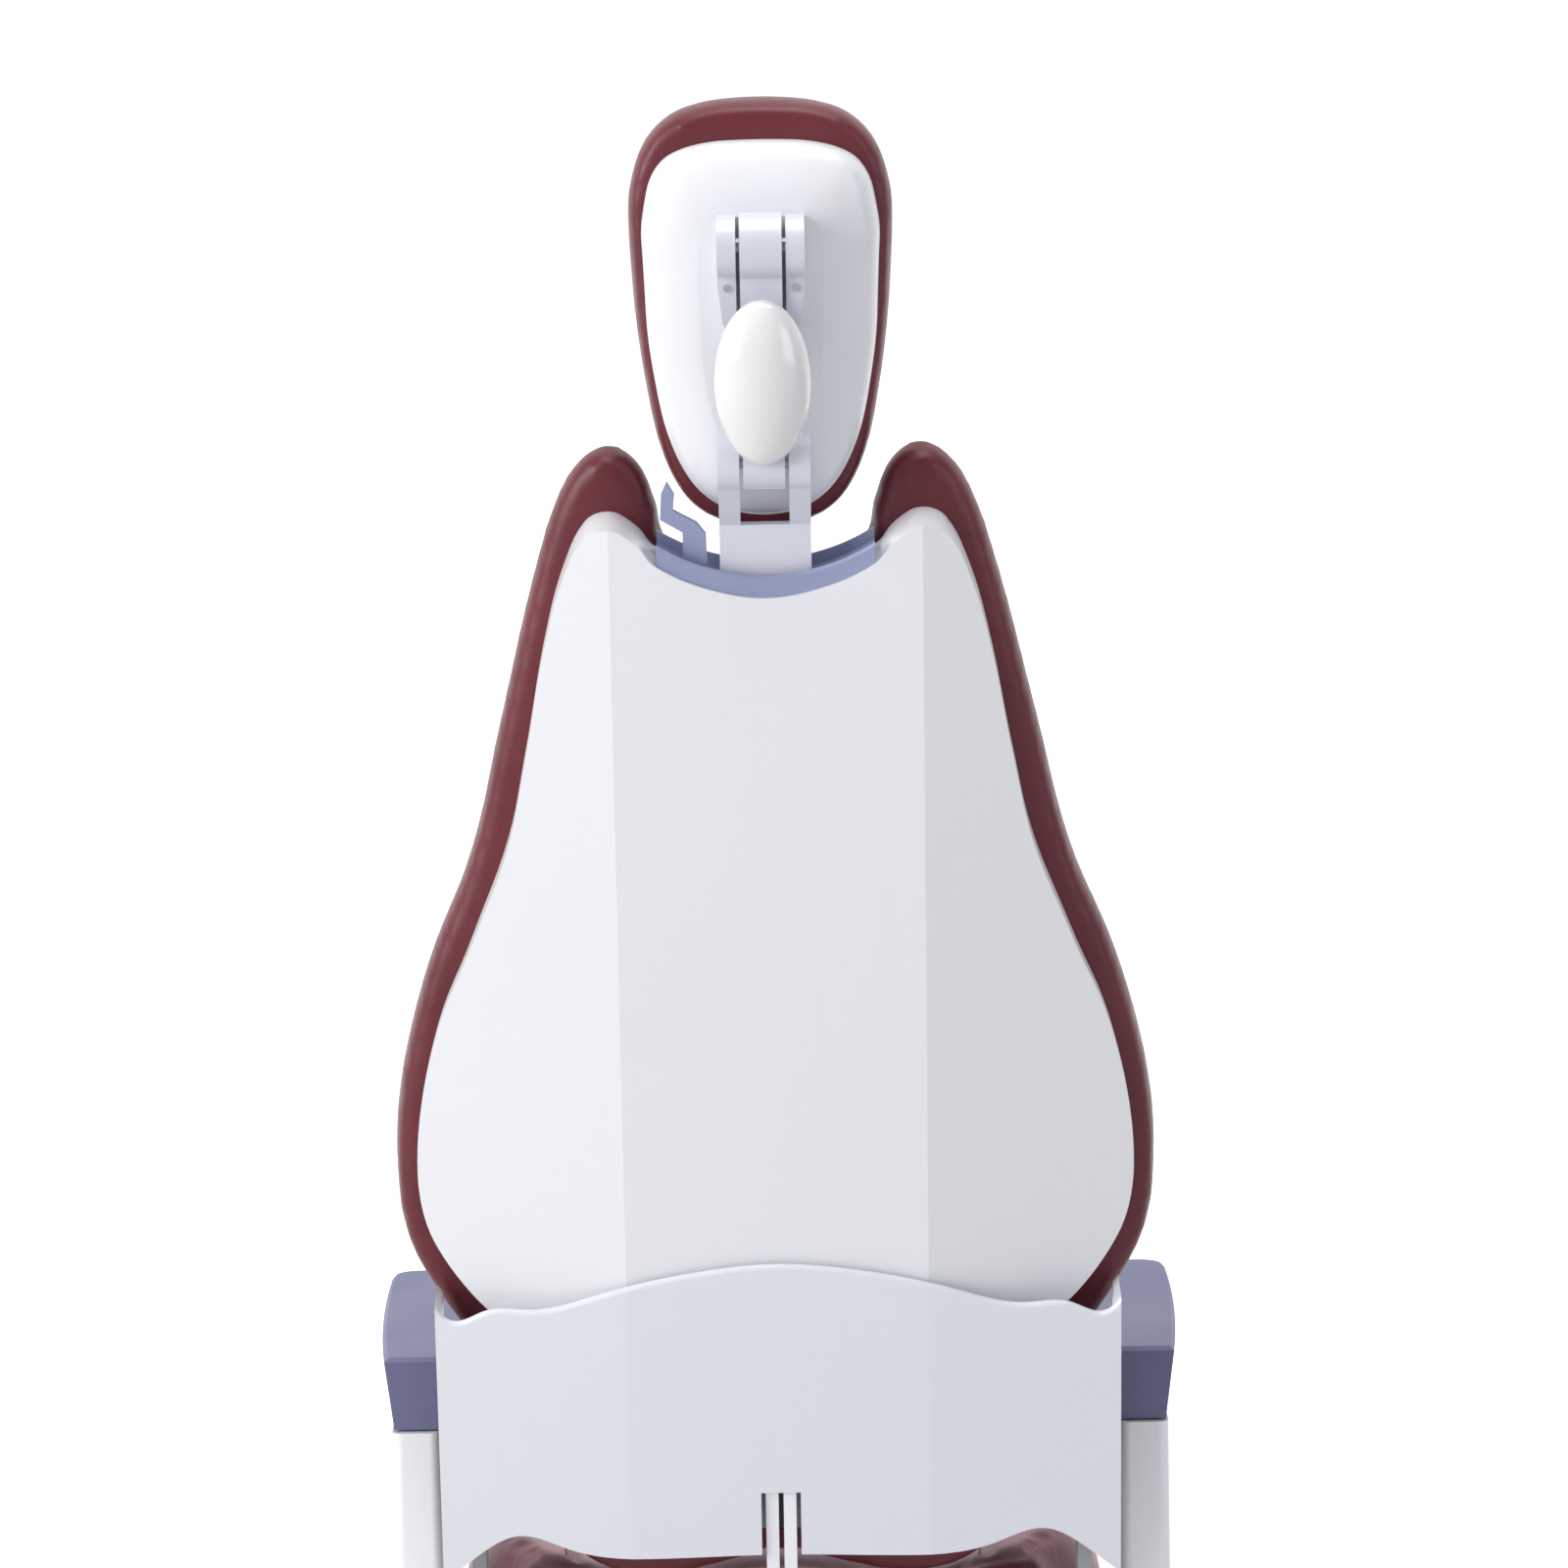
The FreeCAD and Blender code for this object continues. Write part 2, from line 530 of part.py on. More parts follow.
lift_drop = LIFT_CRANK_R * (1 - math.cos(DRIVE_HALF))
lift_rod = fuse(
    slotted_end(END_HALF, -END_THICK / 2, END_THICK / 2, lift_pin_y, lift_axis_z, lift_drop),
    rod_y(ROD_R, lift_tube_front - 40, lift_pin_y - END_HALF, 0, lift_axis_z))

# Carriage: two plates that carry the seat
CARRIAGE_R = 30.0
CARRIAGE_REAR_Y = -245.0
CARRIAGE_FRONT_Y = -85.0
c_plate = fuse(
    plate_x([(CARRIAGE_Y - CARRIAGE_R, CARRIAGE_LOW_Z), (CARRIAGE_Y + CARRIAGE_R, CARRIAGE_LOW_Z),
             (CARRIAGE_Y + CARRIAGE_R, CARRIAGE_HIGH_Z + 20), (CARRIAGE_FRONT_Y, CARRIAGE_TOP_Z - 40),
             (CARRIAGE_FRONT_Y, CARRIAGE_TOP_Z), (CARRIAGE_REAR_Y, CARRIAGE_TOP_Z),
             (CARRIAGE_REAR_Y, CARRIAGE_TOP_Z - 30), (CARRIAGE_Y - CARRIAGE_R, CARRIAGE_HIGH_Z + 40)],
            CHEEK_IN, CHEEK_OUT),
    rod_x(CARRIAGE_R, CHEEK_IN, CHEEK_OUT, CARRIAGE_Y, CARRIAGE_LOW_Z))
for z in (CARRIAGE_LOW_Z, CARRIAGE_HIGH_Z):
    c_plate = c_plate.cut(rod_x(PIVOT_PIN_R, 0, PIN_OUT, CARRIAGE_Y, z))
carriage_right = c_plate
carriage_left = mirror_x(c_plate)

# Skirt behind the carriage
SKIRT_HALF = 104.0
SKIRT_REAR_Y = CARRIAGE_Y - CARRIAGE_R - 28.0
SKIRT_FRONT_Y = CARRIAGE_Y + 84.0
SKIRT_LOW_Z = CARRIAGE_LOW_Z - CARRIAGE_R + 3.5
SKIRT_TOP_Z = CARRIAGE_TOP_Z - 71.0
SKIRT_ROUND = 30.0
skirt = box(-SKIRT_HALF, SKIRT_HALF, SKIRT_REAR_Y, SKIRT_FRONT_Y, SKIRT_LOW_Z, SKIRT_TOP_Z)
hollow = box(-SKIRT_HALF + PAN_WALL, SKIRT_HALF - PAN_WALL, SKIRT_REAR_Y + PAN_WALL,
             SKIRT_FRONT_Y + 1, SKIRT_LOW_Z - 1, SKIRT_TOP_Z + 1)


def rear_corners(shape, y):
    return [e for e in shape.Edges
            if abs(e.tangentAt(e.FirstParameter).z) > 0.9 and e.BoundBox.YMax < y]


skirt = skirt.makeFillet(SKIRT_ROUND, rear_corners(skirt, SKIRT_REAR_Y + 1))
hollow = hollow.makeFillet(SKIRT_ROUND - PAN_WALL, rear_corners(hollow, SKIRT_REAR_Y + PAN_WALL + 1))
carriage_cover = skirt.cut(hollow)
SKIRT_BOSS_R = 8.0
for z in ((CARRIAGE_LOW_Z + CARRIAGE_HIGH_Z) / 2, CARRIAGE_HIGH_Z + 46.0):
    boss = rod_x(SKIRT_BOSS_R, CHEEK_OUT, SKIRT_HALF - PAN_WALL / 2, CARRIAGE_Y, z)
    carriage_cover = carriage_cover.fuse([boss, mirror_x(boss)])

# Seat frame: rails, cross members, leg rails, and side brackets with hinge ears
RAIL_Z0 = CARRIAGE_TOP_Z
RAIL_Z1 = SEAT_BOTTOM_Z - BOARD_THICK
RAIL_REAR_Y = -235.0
RAIL_FRONT_Y = SEAT_FRONT_Y
CROSS_WIDTH = 40.0
CROSS_SPACING = 110.0
BRACKET_THICK = 8.0
BRACKET_FRONT_Y = POST_Y_FRONT
rail = box(RAIL_X - RAIL_WIDTH / 2, RAIL_X + RAIL_WIDTH / 2, RAIL_REAR_Y, RAIL_FRONT_Y,
           RAIL_Z0, RAIL_Z1)
bracket = box(RAIL_X + RAIL_WIDTH / 2, POST_X_OUT, HINGE_Y - HINGE_LUG_R, BRACKET_FRONT_Y,
              RAIL_Z0, RAIL_Z0 + BRACKET_THICK)
ear = fuse(box(EAR_IN, EAR_OUT, HINGE_Y - HINGE_LUG_R, HINGE_Y + HINGE_LUG_R,
               RAIL_Z0, HINGE_Z),
           rod_x(HINGE_LUG_R, EAR_IN, EAR_OUT, HINGE_Y, HINGE_Z))
bracket = fuse(bracket, ear)
cross_y = (CARRIAGE_FRONT_Y - CROSS_WIDTH, CARRIAGE_FRONT_Y + CROSS_SPACING, RAIL_FRONT_Y - CROSS_WIDTH)
tray_in = TRAY_HALF - PAN_WALL
cross_half = (RAIL_X, tray_in, tray_in)
crosses = [box(-x, x, y, y + CROSS_WIDTH, RAIL_Z0, RAIL_Z1) for x, y in zip(cross_half, cross_y)]
LEG_RAIL_X = 112.0
LEG_RAIL_WIDTH = 18.0
LEG_RAIL_HEIGHT = 20.0
LEG_RAIL_END = 40.0       # rails stop short of the toe


def on_leg(shape):
    """Moves a shape from the flat leg frame to the sloping leg rest."""
    placed = shape.copy()
    placed.rotate(Vec(0, 0, 0), Vec(1, 0, 0), -LEG_SLOPE)
    placed.translate(Vec(0, SEAT_FRONT_Y, SEAT_BOTTOM_Z))
    return placed


leg_rail = on_leg(box(LEG_RAIL_X, LEG_RAIL_X + LEG_RAIL_WIDTH, -LEG_RAIL_HEIGHT, LEG_LENGTH - LEG_RAIL_END,
                      -BOARD_THICK - LEG_RAIL_HEIGHT, -BOARD_THICK))
leg_rail = leg_rail.cut(box(0, SEAT_HALF, 0, SEAT_FRONT_Y, 0, SEAT_TOP_Z))
leg_rails = Part.makeCompound([leg_rail, mirror_x(leg_rail)])
seat_frame = fuse(rail, mirror_x(rail), *crosses)
pin_in = LUG_SIDE_IN - 4.0
pin_out = EAR_OUT + 3.0
bracket = bracket.cut(rod_x(HINGE_PIN_R, 0, 2 * EAR_IN, HINGE_Y, HINGE_Z))
hinge_bracket_right = bracket
hinge_bracket_left = mirror_x(bracket)
back_hinge_pins = Part.makeCompound([rod_x(HINGE_PIN_R, x0, x1, HINGE_Y, HINGE_Z)
                                     for x0, x1 in ((-pin_out, -pin_in), (pin_in, pin_out))])

# Seat board and moulded under tray that runs on beneath the legs
slope = math.radians(LEG_SLOPE)
LEG_FRONT_Y = SEAT_FRONT_Y + LEG_LENGTH * math.cos(slope)
LEG_DROP = LEG_LENGTH * math.sin(slope)
TRAY_TOP_Z = SEAT_BOTTOM_Z - 3.0
BOARD_HALF = TRAY_HALF - PAN_WALL - 2.0
LEG_TRAY_DEPTH = 42.0
seat_board = box(-BOARD_HALF, BOARD_HALF, PAN_REAR_Y + PAN_WALL + 2, SEAT_FRONT_Y - 10,
                 RAIL_Z1, SEAT_BOTTOM_Z)
rail_out = RAIL_X + RAIL_WIDTH / 2
seat_board = seat_board.fuse(box(-rail_out, rail_out, SEAT_REAR_Y + 10, PAN_REAR_Y + 10,
                                 RAIL_Z1, SEAT_BOTTOM_Z)).removeSplitter()


def tray_ring(y, half, top, bottom, corner):
    """U-shaped cross section of the tray with round lower corners."""
    c = corner * (1 - math.sqrt(0.5))
    pts = [Vec(x, y, z) for x, z in (
        (-half, top), (-half, bottom + corner), (-half + c, bottom + c), (-half + corner, bottom),
        (half - corner, bottom), (half - c, bottom + c), (half, bottom + corner), (half, top))]
    edges = [Part.LineSegment(pts[0], pts[1]), Part.Arc(pts[1], pts[2], pts[3]),
             Part.LineSegment(pts[3], pts[4]), Part.Arc(pts[4], pts[5], pts[6]),
             Part.LineSegment(pts[6], pts[7]), Part.LineSegment(pts[7], pts[0])]
    return Part.Wire([e.toShape() for e in edges])


TRAY_ROUND = 22.0
TRAY_RISE = 6.0
KNEE = 60.0
knee_top = TRAY_TOP_Z - KNEE * math.tan(slope)
toe_top = TRAY_TOP_Z - LEG_DROP
stations = [(PAN_REAR_Y, TRAY_HALF, TRAY_TOP_Z, PAN_BOTTOM_Z + TRAY_RISE),
            (PAN_REAR_Y + KNEE, TRAY_HALF, TRAY_TOP_Z, PAN_BOTTOM_Z),
            (SEAT_FRONT_Y, TRAY_HALF, TRAY_TOP_Z, PAN_BOTTOM_Z),
            (SEAT_FRONT_Y + KNEE, TRAY_HALF - 6, knee_top, PAN_BOTTOM_Z),
            (LEG_FRONT_Y, LEG_HALF_FRONT, toe_top, toe_top - LEG_TRAY_DEPTH)]
outer = Part.makeLoft([tray_ring(y, half, top, low, TRAY_ROUND)
                       for y, half, top, low in stations], True, True)
rings = []
for y, half, top, low in stations:
    shift = -1 if y == PAN_REAR_Y else (-PAN_WALL if y == LEG_FRONT_Y else 0)
    rings.append(tray_ring(y + shift, half - PAN_WALL, top + PAN_WALL, low + PAN_WALL,
                           TRAY_ROUND - PAN_WALL))
seat_tray = outer.cut(Part.makeLoft(rings, True, True))

# Leg board on sloping rails inside the tray
leg_start = 14.0
leg_stop = LEG_LENGTH - 12.0
leg_rear_half = BOARD_HALF - 6.0
leg_front_half = LEG_HALF_FRONT - PAN_WALL - 6.0
leg_board = on_leg(plate_z([(-leg_rear_half, leg_start), (leg_rear_half, leg_start),
                            (leg_front_half, leg_stop), (-leg_front_half, leg_stop)],
                           -BOARD_THICK, 0))

# Seat cushion: sections across the seat, with two hollows between side bolsters
class Section(Outline):
    """Cross section of the seat cushion at one place along its length."""

    def __init__(self, half, top, bolster, ridge):
        side = SEAT_BOTTOM_Z + (top - SEAT_BOTTOM_Z) * 0.5
        crest = BOLSTER_X * half / SEAT_HALF
        dip = HOLLOW_X * half / SEAT_HALF
        super().__init__([(0, top + ridge), (dip, top), (crest, top + bolster),
                          (half - 8, top + bolster * 0.4 - 8), (half, side),
                          (half - 10, SEAT_BOTTOM_Z + 4), (half - 40, SEAT_BOTTOM_Z),
                          (0, SEAT_BOTTOM_Z)])


NECK_RUN = 40.0           # length in which the seat widens in front of the hinge lugs
neck_y = HINGE_Y + HINGE_LUG_R
sections = [(SEAT_REAR_Y, SEAT_REAR_HALF - 16, SEAT_TOP_Z - 14, 1.0),
            (SEAT_REAR_Y + 12, SEAT_REAR_HALF - 4, SEAT_TOP_Z, 1.0),
            (neck_y, SEAT_REAR_HALF, SEAT_TOP_Z + 1, 1.0),
            (neck_y + NECK_RUN, SEAT_HALF - 10, SEAT_TOP_Z + 2, 0.95),
            (neck_y + 2.5 * NECK_RUN, SEAT_HALF, SEAT_TOP_Z + 2, 0.85),
            ((SEAT_REAR_Y + SEAT_FRONT_Y) / 2, SEAT_HALF, SEAT_TOP_Z, 0.5),
            (SEAT_FRONT_Y - 60, SEAT_HALF - 1, SEAT_TOP_Z + 2, 0.2),
            (SEAT_FRONT_Y - 6, SEAT_HALF - 6, SEAT_TOP_Z - 8, 0.1)]
rings = []
for y, half, top, relief in sections:
    ring = Section(half, top, SEAT_BOLSTER * relief, SEAT_RIDGE * relief)
    rings.append(ring.wire(0, upright(y)))
seat_cushion = Part.makeLoft(rings, True, False, False, 3)
seat_cushion = seat_cushion.cut(box(-2 * SEAT_HALF, 2 * SEAT_HALF, SEAT_REAR_Y - 1, SEAT_FRONT_Y + 1,
                                    RAIL_Z0, SEAT_BOTTOM_Z))

# Leg cushion, drawn in plan on the sloping leg frame
LEG_CUSHION_REAR = 10.0
LEG_CUSHION_FRONT = LEG_LENGTH + 14.0
leg_half = [(0, LEG_CUSHION_FRONT), (LEG_HALF_FRONT - 70, LEG_CUSHION_FRONT - 4),
            (LEG_HALF_FRONT - 18, LEG_CUSHION_FRONT - 26), (LEG_HALF_FRONT + 8, LEG_CUSHION_FRONT - 80),
            ((LEG_HALF_FRONT + SEAT_HALF) / 2 - 8, LEG_CUSHION_FRONT * 0.55), (SEAT_HALF - 16, 90),
            (SEAT_HALF - 13, 52), (SEAT_HALF - 23, LEG_CUSHION_REAR + 12),
            (SEAT_HALF - 55, LEG_CUSHION_REAR), (0, LEG_CUSHION_REAR)]
LEG_CROWN = 5.0
LEG_THICK = 52.0


def flat(z, scale=1.0):
    """Places outline points on the plane Z = z of the leg frame, shrunk to the middle."""
    middle = LEG_LENGTH / 2
    return lambda p: Vec(p[0] * scale, middle + (p[1] - middle) * scale, z)


leg_outline = Outline(leg_half)
leg_layers = [(0.0, 8.0), (10.0, 1.0), (28.0, 0.0), (LEG_THICK - 10, 5.0), (LEG_THICK - 3, 12.0),
              (LEG_THICK, 20.0)]
leg_pad = Part.makeLoft([leg_outline.wire(d, flat(z)) for z, d in leg_layers],
                        True, False, False, 2)
leg_cushion = on_leg(leg_pad.fuse(crown(
    leg_outline, 20.0, lambda rise, scale: flat(LEG_THICK + rise, scale), LEG_CROWN)))

# Back actuator under the seat: the rod end is a fork round the crank plates
RECLINE_HALF = math.radians(RECLINE_TRAVEL / 2)
back_pin_y = HINGE_Y - BACK_CRANK_R * math.sin(RECLINE_HALF)
back_axis_z = HINGE_Z - BACK_CRANK_R * (1 + math.cos(RECLINE_HALF)) / 2
back_drop = BACK_CRANK_R * (1 - math.cos(RECLINE_HALF))
back_stroke = 2 * BACK_CRANK_R * math.sin(RECLINE_HALF)
plates_half = CRANK_PLATE_GAP / 2 + CRANK_PLATE_THICK
FORK_CHEEK = 8.0
fork_in = plates_half + BODY_GAP
fork_out = fork_in + FORK_CHEEK
CRANK_BOSS_R = 18.0
fork_cheek = slotted_end(END_HALF, fork_in, fork_out, back_pin_y, back_axis_z, back_drop)
fork_back_y = back_pin_y + CRANK_BOSS_R + BODY_GAP + back_drop
fork_arm = box(fork_in, fork_out, back_pin_y + END_HALF, fork_back_y + 12,
               back_axis_z - END_HALF, back_axis_z + END_HALF)
fork_bridge = box(-fork_out, fork_out, fork_back_y, fork_back_y + 12,
                  back_axis_z - END_HALF, back_axis_z + END_HALF)
back_tube_rear = fork_back_y + 12 + back_stroke + 8.0
BACK_TUBE = 170.0
BACK_MOTOR = 96.0
back_rod = fuse(fork_cheek, mirror_x(fork_cheek), fork_arm, mirror_x(fork_arm), fork_bridge,
                rod_y(ROD_R, fork_back_y + 12, back_tube_rear + 40, 0, back_axis_z))
back_tube_front = back_tube_rear + BACK_TUBE
HANGER = 22.0
back_actuator = fuse(
    rod_y(ACTUATOR_R, back_tube_rear, back_tube_front, 0, back_axis_z),
    rod_y(MOTOR_R, back_tube_front, back_tube_front + BACK_MOTOR, 0, back_axis_z),
    box(-HANGER / 2, HANGER / 2, cross_y[1], cross_y[1] + CROSS_WIDTH, back_axis_z, RAIL_Z0))
back_actuator = back_actuator.cut(
    rod_y(ROD_R + RUNNING, back_tube_rear - 1, back_tube_front - 6, 0, back_axis_z))

# Armrest posts and the spindles that carry the pads
POST_BOTTOM_Z = RAIL_Z0 + BRACKET_THICK
POST_TOP_Z = ARM_TOP_Z - PAD_REAR_THICK - BODY_GAP
POST_ROUND = 8.0
spindle_x = (PAD_X_IN + PAD_X_OUT) / 2 + 4.0
spindle_y = (POST_Y_REAR + POST_Y_FRONT) / 2
post = box(POST_X_IN, POST_X_OUT, POST_Y_REAR, POST_Y_FRONT, POST_BOTTOM_Z, POST_TOP_Z)
uprights = [e for e in post.Edges if abs(e.tangentAt(e.FirstParameter).z) > 0.9]
post = post.makeFillet(POST_ROUND, uprights)
SPINDLE_DOWN = 60.0
post = post.cut(rod_z(SPINDLE_R, POST_TOP_Z - SPINDLE_DOWN, POST_TOP_Z + 1, spindle_x, spindle_y))
armrest_post_right = post
armrest_post_left = mirror_x(post)
spindle = rod_z(SPINDLE_R, POST_TOP_Z - SPINDLE_DOWN, POST_TOP_Z + BODY_GAP + SPINDLE_UP,
                spindle_x, spindle_y)
armrest_spindles = Part.makeCompound([spindle, mirror_x(spindle)])


def pad_wire(inset, z):
    """Plan outline of the right pad: straight inside, bulging and flaring outside."""
    rear, nose = POST_Y_REAR + inset, POST_Y_REAR + PAD_LENGTH - inset
    x0, x1 = PAD_X_IN + inset, PAD_X_OUT - inset
    x2 = x1 + PAD_FLARE
    r = PAD_NOSE_R - inset
    turn = r * (1 - math.sqrt(0.5))
    edges = [Part.LineSegment(Vec(x0, rear, z), Vec(x1, rear, z)),
             Part.Arc(Vec(x1, rear, z), Vec(x1 + PAD_BULGE, (rear + nose) / 2, z), Vec(x2, nose - r, z)),
             Part.Arc(Vec(x2, nose - r, z), Vec(x2 - turn, nose - turn, z), Vec(x2 - r, nose, z)),
             Part.LineSegment(Vec(x2 - r, nose, z), Vec(x0 + r, nose, z)),
             Part.Arc(Vec(x0 + r, nose, z), Vec(x0 + turn, nose - turn, z), Vec(x0, nose - r, z)),
             Part.LineSegment(Vec(x0, nose - r, z), Vec(x0, rear, z))]
    return Part.Wire([e.toShape() for e in edges])


PAD_EDGE = 3.0
pad_bottom_z = ARM_TOP_Z - PAD_REAR_THICK
pad = Part.makeLoft([pad_wire(6.0, pad_bottom_z), pad_wire(0.0, ARM_TOP_Z - PAD_EDGE),
                     pad_wire(PAD_EDGE, ARM_TOP_Z)], True, True)
thin_z = ARM_TOP_Z - PAD_FRONT_THICK
taper_y = POST_Y_FRONT + 20
wedge = plate_x([(taper_y, pad_bottom_z - 1), (POST_Y_REAR + PAD_LENGTH + 20, pad_bottom_z - 1),
                 (POST_Y_REAR + PAD_LENGTH + 20, thin_z), (taper_y + 90, thin_z),
                 (taper_y, pad_bottom_z)], 0, 2 * PAD_X_OUT)
pad = pad.cut(wedge)
pad = pad.cut(rod_z(SPINDLE_R + RUNNING, pad_bottom_z - 1,
                    POST_TOP_Z + BODY_GAP + SPINDLE_UP + BODY_GAP, spindle_x, spindle_y))
armrest_pad_right = pad
armrest_pad_left = mirror_x(pad)

# Back, drawn upright about the hinge: outlines first
shell_line = Outline(SHELL_HALF)
cushion_line = Outline(CUSHION_HALF)
V_LOW, V_HIGH = -200.0, 1300.0


def behind_fold(shift, slope=FACET_SLOPE):
    """Everything behind the three-panel rear face, moved back by shift."""
    side = 2 * COVER_HALF
    edge_w = SHELL_CENTRE_W + slope * (side - CREASE_X) - shift
    flat_w = SHELL_CENTRE_W - shift
    far = -400.0
    return plate_z([(-side, far), (side, far), (side, edge_w), (CREASE_X, flat_w),
                    (-CREASE_X, flat_w), (-side, edge_w)], V_LOW, V_HIGH)


def fold_w(u, slope=FACET_SLOPE):
    """Depth of the rear face at a distance from the middle."""
    return SHELL_CENTRE_W + slope * max(0.0, abs(u) - CREASE_X)


# Rear shell: three flat panels, a wall all round and bosses for the cushion board
BOARD_W = SHELL_FRONT_W - 8.0
BOSS_R = 8.0
deep_w = SHELL_CENTRE_W - 20.0
shell = slab_of(shell_line, 0, deep_w, SHELL_FRONT_W).cut(behind_fold(0))
shell_hollow = slab_of(shell_line, SHELL_WALL, deep_w, SHELL_FRONT_W + 1)
shell = shell.cut(shell_hollow.cut(behind_fold(-SHELL_WALL)))
FRAME_HALF = 150.0
FRAME_TOP_V = 540.0
shell_low_v = SHELL_HALF[-1][1]
shell = shell.cut(box(-FRAME_HALF - 4, FRAME_HALF + 4, SHELL_CENTRE_W + SHELL_WALL, BOARD_W,
                      shell_low_v - 10, shell_low_v + 12))
for u, v in ((120.0, 700.0), (178.0, 400.0)):
    for s in (-1, 1):
        shell = shell.fuse(rod_y(BOSS_R, fold_w(u) + SHELL_WALL / 2, BOARD_W, s * u, v))

# Glide bar slot and lever slot at the top of the shell and its trim
SLOT_GAP = 1.0
LEVER_U = -47.0
LEVER_V = 786.0
bar_half = BAR_WIDTH / 2
bar_w0, bar_w1 = BAR_W - BAR_THICK / 2, BAR_W + BAR_THICK / 2
dip_v = SHELL_HALF[0][1]
YOKE_HALF = 74.0
bar_slot = box(-bar_half - SLOT_GAP, bar_half + SLOT_GAP, bar_w0 - SLOT_GAP, bar_w1 + SLOT_GAP,
               dip_v - 30, dip_v + 60)
lever_slot = box(-YOKE_HALF - SLOT_GAP, LEVER_U + 13, bar_w0 - SLOT_GAP, bar_w1 + SLOT_GAP,
                 dip_v - 10, dip_v + 60)
back_shell = shell.cut(bar_slot).cut(lever_slot)

# Crescent trim in the neck, a shallow trough between shell and upholstery
YOKE_REAR_W = SHELL_CENTRE_W + 3.0
YOKE_FRONT_W = SHELL_FRONT_W - 2.0
YOKE_TOP = 15.0
YOKE_END = 14.0
YOKE_BEVEL = 1.5
YOKE_LIP = 4.0
TROUGH_DEPTH = 8.0
end_v = SHELL_HALF[2][1]


def crescent(low, high, w0, w1):
    """Slab between two arcs across the neck, each given by its rise at the ends and the middle."""
    rims = [Part.Arc(Vec(-YOKE_HALF, w0, end_v + end), Vec(0, w0, dip_v + middle),
                     Vec(YOKE_HALF, w0, end_v + end)) for end, middle in (low, high)]
    ends = [Part.LineSegment(rims[0].StartPoint, rims[1].StartPoint),
            Part.LineSegment(rims[0].EndPoint, rims[1].EndPoint)]
    ring = Part.Wire(Part.__sortEdges__([e.toShape() for e in rims + ends]))
    return Part.Face(ring).extrude(Vec(0, w1 - w0, 0))


yoke = crescent((-8, -8), (YOKE_END, YOKE_TOP), YOKE_REAR_W, YOKE_FRONT_W)
yoke = yoke.cut(slab_of(shell_line, 0, deep_w, SHELL_FRONT_W))
yoke = yoke.makeChamfer(YOKE_BEVEL, [e for e in yoke.Edges if e.Length > YOKE_HALF])
trough = crescent((YOKE_END - TROUGH_DEPTH, YOKE_TOP - TROUGH_DEPTH), (YOKE_END + 1, YOKE_TOP + 1),
                  YOKE_REAR_W + YOKE_LIP, YOKE_FRONT_W - YOKE_LIP)
yoke_trim = yoke.cut(trough).cut(bar_slot).cut(lever_slot)

# Back upholstery on its board
rim_layers = [(SHELL_FRONT_W, 9.0), (SHELL_FRONT_W + 10, 1.5), (SHELL_FRONT_W + 24, 0.0)]
front_layers = [(20.0, 3.0), (8.0, 10.0), (0.0, 20.0)]
rings = [cushion_line.wire(inset, upright(w)) for w, inset in rim_layers]
for depth, inset in front_layers:
    plane = leaning(BACK_CUSHION_FRONT_W - depth, CUSHION_TAPER, CROWN_V)
    rings.append(cushion_line.wire(inset, plane))
back_cushion = Part.makeLoft(rings, True, False, False, 2).fuse(crown(
    Outline(CROWN_HALF), 0,
    lambda rise, scale: leaning(BACK_CUSHION_FRONT_W + rise, CUSHION_TAPER, CROWN_V, scale),
    CUSHION_CROWN))
BOARD_FIT = 0.3
back_board = slab_of(shell_line, SHELL_WALL + BOARD_FIT, BOARD_W, SHELL_FRONT_W)

# Steel back frame: panel, board spacers and the hinge lugs at its sides
frame_front_w = FRAME_W + FRAME_THICK
FRAME_LOW_V = 96.0
FRAME_STEP_V = 215.0
panel = fuse(
    box(-FRAME_HALF, FRAME_HALF, FRAME_W, frame_front_w, FRAME_LOW_V, FRAME_TOP_V),
    box(-LUG_SIDE_OUT, LUG_SIDE_OUT, FRAME_W, frame_front_w, FRAME_LOW_V, FRAME_STEP_V))
for u, v in ((90.0, 300.0), (90.0, 440.0)):
    for s in (-1, 1):
        panel = panel.fuse(rod_y(BOSS_R, frame_front_w, BOARD_W, s * u, v))
lug = fuse(plate_x([(-HINGE_LUG_R, 0), (HINGE_LUG_R, 0), (frame_front_w + 20, FRAME_LOW_V + 20),
                    (frame_front_w + 20, FRAME_STEP_V), (FRAME_W, FRAME_STEP_V),
                    (FRAME_W, FRAME_LOW_V)], LUG_SIDE_IN, LUG_SIDE_OUT),
           rod_x(HINGE_LUG_R, LUG_SIDE_IN, LUG_SIDE_OUT, 0, 0))
lug = lug.cut(rod_x(HINGE_PIN_R + BUSH_WALL, 0, EAR_IN, 0, 0))
back_frame = fuse(panel, lug, mirror_x(lug))
bush = rod_x(HINGE_PIN_R + BUSH_WALL, LUG_SIDE_IN, LUG_SIDE_OUT, 0, 0)
bush = bush.cut(rod_x(HINGE_PIN_R + RUNNING, 0, EAR_IN, 0, 0))
hinge_bushes = Part.makeCompound([bush, mirror_x(bush)])

